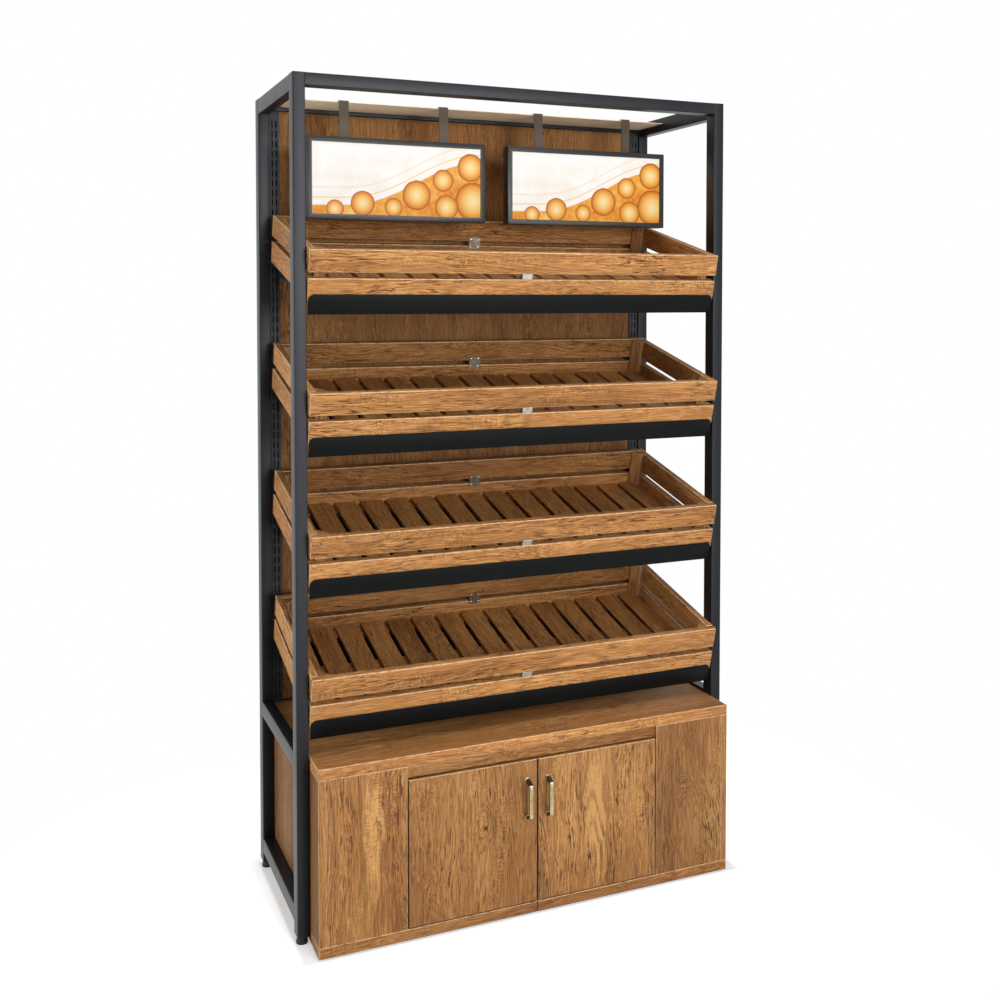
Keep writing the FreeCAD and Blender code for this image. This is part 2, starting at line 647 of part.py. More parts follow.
def concealed_cup_bore(z):
    """Space for one hinge cup in the right-hand door."""
    x = DOOR_OUTER - CUP_FROM_EDGE
    radius = CUP_R + CUP_BORE_CLEARANCE
    depth = CUP_DEPTH + CUP_BORE_CLEARANCE
    return cylinder(radius, depth, Vector(x, DOOR_BACK - depth, z), Vector(0, 1, 0))


def hinge_heights():
    return (DOOR_BOTTOM + HINGE_FROM_END, DOOR_TOP - HINGE_FROM_END)


def door():
    """Right-hand door, hung at its outer edge."""
    panel = box((DOOR_GAP / 2, DOOR_OUTER), (CABINET_FRONT, DOOR_BACK),
                (DOOR_BOTTOM, DOOR_TOP))
    panel = bevelled(panel, EDGE_BEVEL, (2,))
    for z in hinge_heights():
        panel = panel.cut(concealed_cup_bore(z))
    return panel


def hinge_cup(z):
    """Cup let into the back of the door, with its screw-on flange."""
    x = DOOR_OUTER - CUP_FROM_EDGE
    cup = cylinder(CUP_R, CUP_DEPTH, Vector(x, DOOR_BACK - CUP_DEPTH, z), Vector(0, 1, 0))
    half = CUP_FLANGE_WIDTH / 2
    flange = box((x - half, x + half), (DOOR_BACK, DOOR_BACK + CUP_FLANGE),
                 (z - CUP_FLANGE_LENGTH / 2, z + CUP_FLANGE_LENGTH / 2))
    inside = cylinder(CUP_R - CUP_WALL, CUP_DEPTH + CUP_FLANGE,
                      Vector(x, DOOR_BACK - CUP_DEPTH + CUP_WALL, z), Vector(0, 1, 0))
    return cup.fuse(flange).removeSplitter().cut(inside)


def hinge_arm(z):
    """Arm over the cup, bent back along the stile, on its screwed plate."""
    half = ARM_WIDTH / 2
    stile_face = OPENING_HALF
    front = DOOR_BACK + CUP_FLANGE + ARM_GAP
    plate_y = (DOOR_BACK + HINGE_PLATE_SETBACK, DOOR_BACK + HINGE_PLATE_SETBACK + HINGE_PLATE_LENGTH)
    plate_inner = stile_face - HINGE_PLATE_THICK
    plate = box((plate_inner, stile_face), plate_y,
                (z - HINGE_PLATE_HEIGHT / 2, z + HINGE_PLATE_HEIGHT / 2))
    cup_x = DOOR_OUTER - CUP_FROM_EDGE
    finger = box((cup_x, plate_inner), (front, front + ARM_THICK), (z - half, z + half))
    bar = box((plate_inner - ARM_THICK, plate_inner), (front, front + ARM_LENGTH), (z - half, z + half))
    return finger.fuse([bar, plate]).removeSplitter()


def handle():
    """Bow handle of the right-hand door: a cranked bar with bevelled edges on two round feet."""
    face = CABINET_FRONT
    outer = face - HANDLE_REACH
    half_bar = HANDLE_BAR_LENGTH / 2
    half_feet = HANDLE_CENTRES / 2
    foot = HANDLE_BAR / 2
    outline = [(face, half_feet + foot), (outer, half_bar + foot / 2), (outer, -half_bar - foot / 2),
               (face, -half_feet - foot), (face, -half_feet + foot),
               (outer + HANDLE_BAR, -half_bar + foot), (outer + HANDLE_BAR, half_bar - foot),
               (face, half_feet - foot)]
    x = DOOR_GAP / 2 + HANDLE_FROM_EDGE
    half = HANDLE_WIDTH / 2
    bow = prism_x([(y, HANDLE_MID_Z + z) for y, z in outline], (x - half, x + half))
    long_edges = []
    for edge in bow.Edges:
        first, last = edge.Vertexes[0].Point, edge.Vertexes[-1].Point
        across = abs(first.x - last.x) > 1e-6
        on_door = abs(first.y - face) < 1e-6 and abs(last.y - face) < 1e-6
        if not across and not on_door:
            long_edges.append(edge)
    bow = bow.makeChamfer(HANDLE_CHAMFER, long_edges)
    for end in SIDES:
        base = Vector(x, face, HANDLE_MID_Z + end * half_feet)
        bow = bow.fuse(cylinder(HANDLE_FOOT_R, HANDLE_FOOT_H, base, Vector(0, -1, 0)))
    return bow.removeSplitter()


def build_cabinet():
    y_all = (CABINET_FRONT, CABINET_BACK)
    z_inside = (BASE_TOP, TOP_UNDER)
    half = CABINET_HALF
    top = box((-half, half), y_all, (TOP_UNDER, CABINET_HEIGHT))
    write("cabinet_top", bevelled(top, EDGE_BEVEL, (0, 1, 2)))
    base = box((BASE_SEAM / 2, half), y_all, (GLIDE_H, BASE_TOP))
    write("cabinet_base", *on_both_sides(base))
    write("cabinet_glides", *cabinet_glides())
    write("cabinet_packers", *cabinet_packers())
    side_panel = box((half - SIDE_BOARD, half), y_all, z_inside)
    write("cabinet_sides", *on_both_sides(side_panel))
    inner = half - SIDE_BOARD
    write("cabinet_back", box((-inner, inner), (CABINET_BACK - BACK_BOARD, CABINET_BACK), z_inside))
    fixed_front = box((OPENING_HALF, inner), (CABINET_FRONT, DOOR_BACK), z_inside)
    write("cabinet_fixed_fronts", *on_both_sides(fixed_front))
    stile = box((OPENING_HALF, OPENING_HALF + SIDE_BOARD), (DOOR_BACK, DOOR_BACK + STILE_DEPTH),
                z_inside)
    write("cabinet_stiles", *on_both_sides(stile))
    rail_front = CABINET_FRONT + HEAD_RAIL_RECESS
    write("cabinet_head_rail", box((-OPENING_HALF, OPENING_HALF),
                                   (rail_front, rail_front + FRONT_BOARD),
                                   (TOP_UNDER - HEAD_RAIL_HEIGHT, TOP_UNDER)))
    write("hinge_arms", *[arm for z in hinge_heights() for arm in on_both_sides(hinge_arm(z))])
    cups = [hinge_cup(z) for z in hinge_heights()]
    write("right_door", door())
    write("left_door", mirrored(door()))
    write("right_hinge_cups", *cups)
    write("left_hinge_cups", *[mirrored(cup) for cup in cups])
    write("right_handle", handle())
    write("left_handle", mirrored(handle()))


build_frame()
build_back()
build_signs()
build_crates()
build_shelves()
build_cabinet()
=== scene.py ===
import json
import math
import random

import bmesh
import bpy
from mathutils import Matrix, Vector


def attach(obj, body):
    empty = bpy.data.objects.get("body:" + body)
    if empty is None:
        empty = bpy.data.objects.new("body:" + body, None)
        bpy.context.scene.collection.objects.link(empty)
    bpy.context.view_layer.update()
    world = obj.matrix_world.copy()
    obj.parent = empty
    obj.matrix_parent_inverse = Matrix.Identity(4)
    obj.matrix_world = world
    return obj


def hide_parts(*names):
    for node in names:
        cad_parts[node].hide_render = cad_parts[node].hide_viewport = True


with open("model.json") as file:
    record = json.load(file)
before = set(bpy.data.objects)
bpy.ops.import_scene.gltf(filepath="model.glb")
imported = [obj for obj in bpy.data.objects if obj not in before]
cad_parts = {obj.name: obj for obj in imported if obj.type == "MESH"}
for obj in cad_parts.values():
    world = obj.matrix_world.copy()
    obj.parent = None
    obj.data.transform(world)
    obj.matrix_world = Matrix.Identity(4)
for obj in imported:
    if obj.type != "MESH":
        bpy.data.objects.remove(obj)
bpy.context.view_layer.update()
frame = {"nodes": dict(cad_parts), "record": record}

random.seed(7)

# ---- tests on edges and faces: metres, shares of a face's normal, angles ----
TINY = 0.00001
SQUARE_ON = 0.99
STEEP = 0.80
LEANING = 0.35
SLIGHT = 0.15
SMOOTH_UNDER = math.radians(35.0)
FLAT_UNDER = math.radians(1.0)

# ---- tube frame, in metres ----
SIDES = (("left", -1), ("right", 1))
FRAME_HALF = 0.600
FRAME_FRONT = -0.1725
FRAME_BACK = 0.2825
FRAME_TOP = 2.105
TUBE_NARROW = 0.030
TUBE_WIDE = 0.040
TUBE_WALL = 0.0015
TUBE_ROUND = 0.0020
HOLLOW_DEPTH = 0.024
UPRIGHT_LOW = 0.023
SIDE_RAIL_TOPS = (2.105, 0.466, 0.087)
REAR_RAIL_TOPS = (0.461, 0.087)
INNER_HALF = FRAME_HALF - TUBE_NARROW
TOP_RAIL_LOW = FRAME_TOP - TUBE_NARROW
REAR_UPRIGHT_FACE = FRAME_BACK - TUBE_WIDE
DEPTHS = (("front", FRAME_FRONT), ("rear", REAR_UPRIGHT_FACE))

# ---- levelling feet ----
PAD_R = 0.0148
PAD_FLANGE = 0.004
PAD_RISE = 0.0150
PAD_TAPER = 0.84
NUT_R = 0.0095
NUT_TOP = 0.0215
NUT_SEAT = 0.001
STEM_R = 0.005
STEM_START = 0.001
STEM_SEAT = 0.0003
STEM_PLAIN = 0.028
THREAD_ROOT = 0.86
THREAD_RISE = 0.0007
THREAD_TURNS = 6

# ---- crates ----
SLOPE = math.radians(14.5)
CRATE_NUMBERS = (1, 2, 3, 4)
CRATE_HALF = 0.568
CRATE_LENGTH = 0.429
BOARD_HEIGHT = 0.057
BOARD_GAP = 0.014
BOARD_THICK = 0.018
SEAT_GAP = 0.0003
POST_SIZE = 0.028
POST_CUT = 0.020
POST_DROP = 0.001
SLAT_COUNT = 15
SLAT_GAP = 0.014
SLAT_THICK = 0.012
BATTEN_THICK = 0.015
BATTEN_WIDTH = 0.040
BATTEN_COUNT = 3
TIE_PLATE = 0.034
TIE_PLATE_THICK = 0.0012
TIE_PLATE_CORNER = 0.003
TIE_PLATE_FRONT_X = 0.003
TIE_PLATE_REAR_X = 0.013
TIE_TONGUE_WIDTH = 0.028
TIE_TONGUE_SETBACK = 0.001
TIE_TONGUE_RIM = 0.0016
TIE_TONGUE_DISH = 0.0012
SCREW_SPACING = 0.022
SCREW_R = 0.0028
SCREW_RISE = 0.0010
CRATE_FLOOR = BATTEN_THICK + SLAT_THICK
CRATE_HEIGHT = 2 * BOARD_HEIGHT + BOARD_GAP
UPPER_BOARD = BOARD_HEIGHT + BOARD_GAP
INNER_END = CRATE_HALF - BOARD_THICK
FRONT_FACE = -CRATE_LENGTH + BOARD_THICK
REAR_FACE = -BOARD_THICK

# ---- signs ----
SIGN_CENTRES = (-0.262, 0.303)
SIGN_HALF = 0.249
SIGN_FRONT = 0.0645
SIGN_BACK = 0.0995
SIGN_LOW = 1.7755
SIGN_TOP = 1.9905
SIGN_LIP = 0.014
SIGN_RECESS = 0.0045
SIGN_STEP = SIGN_CENTRES[1] - SIGN_CENTRES[0]
SIGN_ROUNDS = (
    ((0.455, 0.150), 0.038), ((0.375, 0.112), 0.030), ((0.462, 0.058), 0.052), ((0.385, 0.040), 0.034),
    ((0.300, 0.070), 0.040), ((0.235, 0.036), 0.025), ((0.150, 0.044), 0.033), ((0.075, 0.028), 0.024),
)

# ---- cupboard ----
CUPBOARD_HALF = 0.568
CUPBOARD_FRONT = -0.2545
CUPBOARD_BACK = 0.2495
CUPBOARD_LOW = 0.004
CUPBOARD_TOP = 0.460
THICK_BOARD = 0.027
THIN_BOARD = 0.018
OPENING_HALF = 0.347
HEAD_RAIL_LOW = 0.403
HEAD_RAIL_RECESS = 0.008
BASE_SEAM_HALF = 0.0005
DOOR_INNER = 0.00125
DOOR_OUTER = 0.3445
DOOR_LOW = 0.0335
DOOR_TOP = 0.399
CUP_X = 0.3225
CUP_HEIGHTS = (0.0955, 0.337)
CUP_BORE_R = 0.0176
CUP_BORE_DEPTH = 0.0116
INSIDE_LOW = CUPBOARD_LOW + THICK_BOARD
INSIDE_TOP = CUPBOARD_TOP - THICK_BOARD
# dark strips in the slit behind the cupboard: painted shade
SHADE_STRIP_PLAY = 0.0002
SHADE_STRIP_SETBACK = 0.003
SHADE_STRIP_DROP = 0.004
HANDLE_SWELL = 1.15
HANDLE_FOOT = 0.0035
HANDLE_ELBOW = 0.0165
FOOTPRINT_MIDDLE = (FRAME_BACK + CUPBOARD_FRONT) / 2
FOOTPRINT_HALF = (FRAME_BACK - CUPBOARD_FRONT) / 2

# ---- widths of the eased edges ----
EASED_BOARD = 0.0019
EASED_SLAT = 0.0011
EASED_SMALL = 0.0008
EASED_TOP = 0.0014
EASED_CUPBOARD = 0.0012
EASED_FRONT = 0.0009
EASED_SIGN = 0.0012
EASED_SHEET = 0.0005
EASED_STRIP = 0.0004
EASED_HANDLE = 0.0010
EASED_PAD = 0.0009
EASED_NUT = 0.0010

# ---- camera: metres, degrees, millimetres and a share of the sensor ----
CAMERA_PLACE = (-1.21419, -2.89284, 1.57052)
CAMERA_DIP = 1.984
CAMERA_TURN = -22.82
SENSOR_WIDTH = 36.0
LENS = 41.653
LENS_SHIFT = -0.16212

# ---- colours (linear) ----
OAK_DARK = (0.085, 0.030, 0.009)
OAK_MID = (0.375, 0.160, 0.048)
OAK_LIGHT = (0.680, 0.360, 0.125)
OAK_EDGE = (0.800, 0.530, 0.290)
GRAPHITE = (0.0080, 0.0085, 0.0105)
WHITE = (1.0, 1.0, 1.0, 1.0)
FLOOR_GREY = (0.72, 0.72, 0.72, 1.0)

# ---- share of each pattern in the tone of the oak ----
GRAIN_SHARES = (("patches", 1.05), ("streaks", 0.60), ("strands", 0.75), ("fibres", 0.90))
GRAIN_MIDDLE = sum(share for pattern, share in GRAIN_SHARES) / 2


# ------------------------------------------------------------------ materials
def new_material(name):
    material = bpy.data.materials.new(name)
    material.use_nodes = True
    tree = material.node_tree
    return material, tree, tree.nodes["Principled BSDF"]


def add(tree, kind, **settings):
    node = tree.nodes.new(kind)
    for key, value in settings.items():
        setattr(node, key, value)
    return node


def link(tree, source, target):
    tree.links.new(source, target)


def feed(tree, sockets, values):
    """Set each socket to a number or a tuple, or link it."""
    for socket, value in zip(sockets, values):
        if isinstance(value, (int, float)):
            socket.default_value = value
        elif isinstance(value, tuple):
            socket.default_value = value if len(value) == len(socket.default_value) else (*value, 1.0)
        else:
            link(tree, value, socket)


def dress(tree, node, values):
    """Set or link the named inputs of a node."""
    feed(tree, [node.inputs[name] for name in values], values.values())


def calc(tree, operation, *values, clamp=False):
    node = add(tree, "ShaderNodeMath", operation=operation, use_clamp=clamp)
    feed(tree, node.inputs, values)
    return node.outputs[0]


def product(tree, value, *others):
    for other in others:
        value = calc(tree, "MULTIPLY", value, other)
    return value


def summed(tree, *shares):
    """Sum of patterns, each times its share."""
    total = 0.0
    for pattern, share in shares:
        total = calc(tree, "MULTIPLY_ADD", pattern, share, total)
    return total


def object_place(tree):
    return add(tree, "ShaderNodeTexCoord").outputs["Object"]


def axes(tree, vector):
    """X, Y and Z of a vector."""
    node = add(tree, "ShaderNodeSeparateXYZ")
    link(tree, vector, node.inputs[0])
    return node.outputs


def stretched(tree, vector, scale):
    node = add(tree, "ShaderNodeVectorMath", operation="MULTIPLY")
    feed(tree, node.inputs, (vector, scale))
    return node.outputs[0]


def moved(tree, vector, step):
    node = add(tree, "ShaderNodeVectorMath", operation="ADD")
    feed(tree, node.inputs, (vector, step))
    return node.outputs[0]


def noise(tree, vector, scale=1.0, detail=2.0, roughness=0.5, distortion=0.0):
    """Cloudy noise; a scale of three numbers stretches it along the axes."""
    if isinstance(scale, tuple):
        vector, scale = stretched(tree, vector, scale), 1.0
    node = add(tree, "ShaderNodeTexNoise")
    dress(tree, node, {"Vector": vector, "Scale": scale, "Detail": detail, "Roughness": roughness,
                       "Distortion": distortion})
    return node.outputs["Fac"]


def ramp(tree, value, stops):
    """Colour or grey ramp; stops are (place, colour or grey)."""
    node = add(tree, "ShaderNodeValToRGB")
    elements = node.color_ramp.elements
    while len(elements) < len(stops):
        elements.new(0.5)
    for element, (place, colour) in zip(elements, stops):
        element.position = place
        if isinstance(colour, (int, float)):
            colour = (colour, colour, colour)
        element.color = (*colour, 1.0)
    link(tree, value, node.inputs[0])
    return node.outputs[0]


def blend(tree, factor, first, second):
    node = add(tree, "ShaderNodeMix", data_type="RGBA")
    feed(tree, (node.inputs[0], node.inputs[6], node.inputs[7]), (factor, first, second))
    return node.outputs[2]


def bump(tree, height, distance, strength=1.0):
    """Surface relief, for a shader's Normal."""
    node = add(tree, "ShaderNodeBump")
    dress(tree, node, {"Height": height, "Distance": distance, "Strength": strength})
    return node.outputs[0]


def toned(colour, tone):
    return tuple(min(1.0, c * tone) for c in colour)


def between(first, second, share):
    return tuple(a + (b - a) * share for a, b in zip(first, second))


GRAIN_TURN = {
    "across": (0.0, 0.0, 0.0),
    "upright": (0.0, math.pi / 2, 0.0),
    "slope_across": (-SLOPE, 0.0, 0.0),
    "slope_depth": (-SLOPE, 0.0, -math.pi / 2),
    "slope_upright": (-SLOPE, math.pi / 2, 0.0),
}


def grain_space(tree, grain, place):
    """Coordinates whose first axis runs along the grain; without a place, boards bring their own."""
    whole = object_place(tree)
    turn = add(tree, "ShaderNodeMapping")
    dress(tree, turn, {"Vector": whole, "Rotation": GRAIN_TURN[grain],
                       "Location": place or (0.0, 0.0, 0.0)})
    wood = turn.outputs[0]
    if place is None:
        shift = add(tree, "ShaderNodeAttribute", attribute_name="grain_shift")
        wood = moved(tree, wood, shift.outputs["Vector"])
    return whole, wood


def wandering(tree, wood, *pushes):
    """Bend the grain sideways by slow noise and by what a knot pushes aside."""
    wander = calc(tree, "MULTIPLY_ADD", noise(tree, wood, (1.7, 6.0, 6.0)), 0.070, -0.035)
    small = calc(tree, "MULTIPLY_ADD", noise(tree, wood, (14.0, 30.0, 30.0)), 0.004, -0.002)
    for sideways in (small, *pushes):
        wander = calc(tree, "ADD", wander, sideways)
    along, across, through = axes(tree, wood)
    bent = add(tree, "ShaderNodeCombineXYZ")
    feed(tree, bent.inputs, (along, calc(tree, "ADD", across, wander), calc(tree, "ADD", through, wander)))
    return bent.outputs[0]


def lobe(tree, place, centre_x, centre_z, half_x, half_z, ragged):
    """Soft ragged patch on an upright board, 1 in its middle and 0 outside."""
    parts = axes(tree, place)
    x = product(tree, calc(tree, "SUBTRACT", parts[0], centre_x), 1.0 / half_x)
    z = product(tree, calc(tree, "SUBTRACT", parts[2], centre_z), 1.0 / half_z)
    far = calc(tree, "SQRT", summed(tree, (x, x), (z, z)))
    far = calc(tree, "ADD", far, calc(tree, "MULTIPLY_ADD", ragged, 1.3, -0.65))
    return ramp(tree, far, [(0.35, 1.0), (1.0, 0.0)])


def zones(tree, wood, scale, low, high, detail=2.0):
    """Slow patchwork over a board, from the low stop to the high one."""
    return ramp(tree, noise(tree, wood, scale, detail), [low, high])


def scattered_knots(tree, wood):
    """Distance to the nearest point of a loose pattern, and 1 where that point is a knot."""
    cell = add(tree, "ShaderNodeTexVoronoi", feature="F1")
    dress(tree, cell, {"Vector": stretched(tree, wood, (2.0, 5.0, 5.0)), "Scale": 1.0})
    split = add(tree, "ShaderNodeSeparateColor")
    link(tree, cell.outputs["Color"], split.inputs[0])
    return cell.outputs["Distance"], ramp(tree, split.outputs[0], [(0.55, 0.0), (0.60, 1.0)])


def grain_layers(tree, bent):
    """Patterns of the grain, from broad patches down to fibres, cracks and tool marks; the strands less
    their shifted copy give paler and darker fibres side by side, painted light and shade of a relief.
    """
    strand_space = stretched(tree, bent, (8.0, 330.0, 330.0))
    strands, beside = [noise(tree, space, detail=3.0, roughness=0.65)
                       for space in (strand_space, moved(tree, strand_space, (0.0, 0.28, 0.28)))]
    crack_space = stretched(tree, bent, (25.0, 245.0, 245.0))
    cracks, brinks = [noise(tree, space, roughness=0.55, distortion=0.35)
                      for space in (crack_space, moved(tree, crack_space, (0.0, 0.40, 0.40)))]
    rings = product(tree, noise(tree, bent, (1.0, 8.5, 8.5), detail=1.0, roughness=0.4), 135.0)
    return {
        "patches": noise(tree, bent, (1.3, 6.5, 6.5)),
        "streaks": noise(tree, bent, (1.6, 34.0, 34.0), detail=3.0, roughness=0.6),
        "strands": strands,
        "painted_relief": calc(tree, "SUBTRACT", strands, beside),
        "fibres": noise(tree, bent, (11.0, 600.0, 600.0), roughness=0.65),
        "cracks": cracks,
        "brinks": brinks,
        "curls": noise(tree, bent, (230.0, 80.0, 80.0), roughness=0.6, distortion=1.4),
        "rings": calc(tree, "MULTIPLY_ADD", calc(tree, "SINE", rings), 0.5, 0.5),
    }


def flame(tree, whole, layers, centre_x, centre_z, half_x, half_z, amount, feathers):
    """Bright figure of fine scales and ring lines inside a ragged lobe."""
    patch = lobe(tree, whole, centre_x, centre_z, half_x, half_z, layers["streaks"])
    scales = calc(tree, "MULTIPLY_ADD", layers["curls"], 4.2, -1.75, clamp=True)
    figure = summed(tree, (scales, feathers), (layers["rings"], 1.0 - feathers))
    return product(tree, patch, calc(tree, "MULTIPLY_ADD", figure, 0.75, 0.25), amount)


def oak(name, grain, place=None, tone=1.0, contrast=1.0, knots=False, bright=(), knot=None):
    """Brushed, open-grained oak with cracks, golden figure, knots and painted highlights beside its strands
    and cracks.

    bright lists flames as the last six values of flame(), and knot is the X and Z of a knot.
    """
    material, tree, shader = new_material(name)
    whole, wood = grain_space(tree, grain, place)
    knot_distance, chosen = scattered_knots(tree, wood)
    pushes = [product(tree, ramp(tree, knot_distance, [(0.0, 1.0), (0.32, 0.0)]), chosen,
                      0.024 if knots else 0.005)]
    if knot:
        swirl = lobe(tree, whole, *knot, 0.030, 0.060, noise(tree, wood, (20.0, 30.0, 30.0), detail=1.0))
        pushes.append(product(tree, swirl, 0.016))
    layers = grain_layers(tree, wandering(tree, wood, *pushes))
    chatter = product(tree, calc(tree, "SUBTRACT", layers["curls"], 0.5),
                      zones(tree, wood, (5.0, 16.0, 16.0), (0.50, 0.0), (0.66, 1.0), detail=1.0))

    shares = [(layers[pattern], share) for pattern, share in GRAIN_SHARES]
    # the strands less their shifted copy: painted light and shade of a relief beside each strand
    value = summed(tree, *shares, (layers["painted_relief"], 1.0), (chatter, 1.7))
    value = calc(tree, "MULTIPLY_ADD", calc(tree, "SUBTRACT", value, GRAIN_MIDDLE), 1.05 * contrast, 0.5)
    for figure in bright:
        value = calc(tree, "ADD", value, flame(tree, whole, layers, *figure))
    dark, mid, light = [toned(colour, tone) for colour in (OAK_DARK, OAK_MID, OAK_LIGHT)]
    colour = ramp(tree, value, [(0.0, between(mid, dark, 0.75)), (0.30, between(mid, dark, 0.25)),
                                (0.52, between(mid, light, 0.12)), (0.80, between(mid, light, 0.62)),
                                (1.0, light)])

    busy = zones(tree, wood, (3.4, 13.0, 13.0), (0.42, 0.10), (0.62, 1.0))
    # pale lines beside the cracks: painted highlight of their brinks
    painted_crack_highlight = product(tree, ramp(tree, layers["brinks"], [(0.58, 0.0), (0.66, 1.0)]), busy, 0.45)
    colour = blend(tree, painted_crack_highlight, colour, toned(OAK_LIGHT, tone * 1.12))
    crack_mask = product(tree, ramp(tree, layers["cracks"], [(0.585, 0.0), (0.625, 1.0)]),
                         0.92 * contrast, busy)
    ring_mask = product(tree, ramp(tree, layers["rings"], [(0.0, 1.0), (0.25, 0.0)]),
                        zones(tree, wood, (2.6, 11.0, 11.0), (0.42, 0.0), (0.60, 1.0)), 0.34 * contrast)
    for mask in (crack_mask, ring_mask):
        colour = blend(tree, mask, colour, dark)
    hearts = []
    if knots:
        hearts.append(product(tree, ramp(tree, knot_distance, [(0.015, 1.0), (0.075, 0.0)]), chosen, 0.85))
    if knot:
        hearts.append(lobe(tree, whole, *knot, 0.0075, 0.0095, layers["fibres"]))
        hearts.append(product(tree, ramp(tree, layers["rings"], [(0.0, 1.0), (0.45, 0.0)]), swirl, 0.55))
    for heart in hearts:
        colour = blend(tree, heart, colour, toned(dark, 0.8))

    height = summed(tree, (layers["strands"], 1.0), (layers["fibres"], 0.35), (chatter, 0.8),
                    (crack_mask, -0.7), (ring_mask, -0.7))
    dress(tree, shader, {
        "Base Color": colour,
        "Roughness": calc(tree, "MULTIPLY_ADD", layers["strands"], 0.3, 0.38),
        "Specular IOR Level": 0.22,
        "Normal": bump(tree, height, 0.0032),
    })
    return material


def oak_edge_wood(name, tone=1.0):
    """Pale worn wood on the eased edges of the boards."""
    material, tree, shader = new_material(name)
    wear = noise(tree, object_place(tree), 55.0, 4.0, 0.65)
    dress(tree, shader, {
        "Base Color": ramp(tree, wear, [(0.33, toned(OAK_MID, tone)), (0.52, toned(OAK_EDGE, tone)),
                                        (0.72, toned(OAK_EDGE, 1.12 * tone))]),
        "Roughness": calc(tree, "MULTIPLY_ADD", wear, 0.2, 0.35),
        "Normal": bump(tree, wear, 0.0003, 0.5),
    })
    return material


def painted_steel(name, colour, roughness, gloss, spread=0.10, glint=(1.0, 1.0, 1.0)):
    """Powder coat: fine orange peel and a slight unevenness of the colour."""
    material, tree, shader = new_material(name)
    place = object_place(tree)
    peel = noise(tree, place, 900.0, 3.0, 0.6)
    cloud = noise(tree, place, 5.0, 4.0, 0.62)
    rubs = noise(tree, place, (30.0, 30.0, 4.0), 5.0, 0.7)
    dress(tree, shader, {
        "Base Color": ramp(tree, summed(tree, (cloud, 0.7), (rubs, 0.3)),
                           [(0.34, toned(colour, 1.0 - spread)), (0.62, toned(colour, 1.0 + spread))]),
        "Roughness": calc(tree, "ADD", calc(tree, "MULTIPLY_ADD", peel, 0.16, roughness - 0.08),
                          calc(tree, "MULTIPLY_ADD", rubs, 0.12, -0.06)),
        "Specular IOR Level": gloss,
        "Specular Tint": glint,
        "Normal": bump(tree, peel, 0.00015, 0.6),
    })
    return material


def metal(name, colour, roughness, stain, brushed=(1.0, 1.0, 1.0)):
    """Plated or brushed metal with stains in its hollows."""
    material, tree, shader = new_material(name)
    place = object_place(tree)
    spots = noise(tree, place, 70.0, 4.0, 0.6)
    lines = noise(tree, stretched(tree, place, brushed), 700.0, 2.0, 0.6)
    dress(tree, shader, {
        "Base Color": ramp(tree, spots, [(0.32, stain), (0.60, colour)]),
        "Metallic": 1.0,
        "Roughness": calc(tree, "MULTIPLY_ADD", lines, 0.14, roughness - 0.07),
        "Normal": bump(tree, lines, 0.00002, 0.4),
    })
    return material


def moulded_plastic(name, colour, roughness):
    """Dull plastic with the fine texture of its mould."""
    material, tree, shader = new_material(name)
    texture = noise(tree, object_place(tree), 1100.0, 3.0, 0.6)
    dress(tree, shader, {
        "Base Color": ramp(tree, texture, [(0.3, toned(colour, 0.75)), (0.7, colour)]),
        "Roughness": calc(tree, "MULTIPLY_ADD", texture, 0.15, roughness - 0.07),
        "Specular IOR Level": 0.3,
        "Normal": bump(tree, texture, 0.00015, 0.5),
    })
    return material


def amber_round(tree, sheet, under, centre, radius, grain):
    """Plain round with a pale middle, an orange shoulder and a brown rim."""
    away = add(tree, "ShaderNodeVectorMath", operation="DISTANCE")
    feed(tree, away.inputs, (sheet, (centre[0], 0.0, centre[1])))
    out = product(tree, away.outputs["Value"], 1.0 / radius)
    out = calc(tree, "ADD", out, calc(tree, "MULTIPLY_ADD", grain, 0.10, -0.05))
    body = ramp(tree, out, [(0.0, (0.97, 0.80, 0.46)), (0.45, (0.94, 0.58, 0.17)),
                            (0.80, (0.80, 0.30, 0.035)), (0.97, (0.42, 0.10, 0.012))])
    return blend(tree, ramp(tree, out, [(0.985, 1.0), (1.0, 0.0)]), under, body)


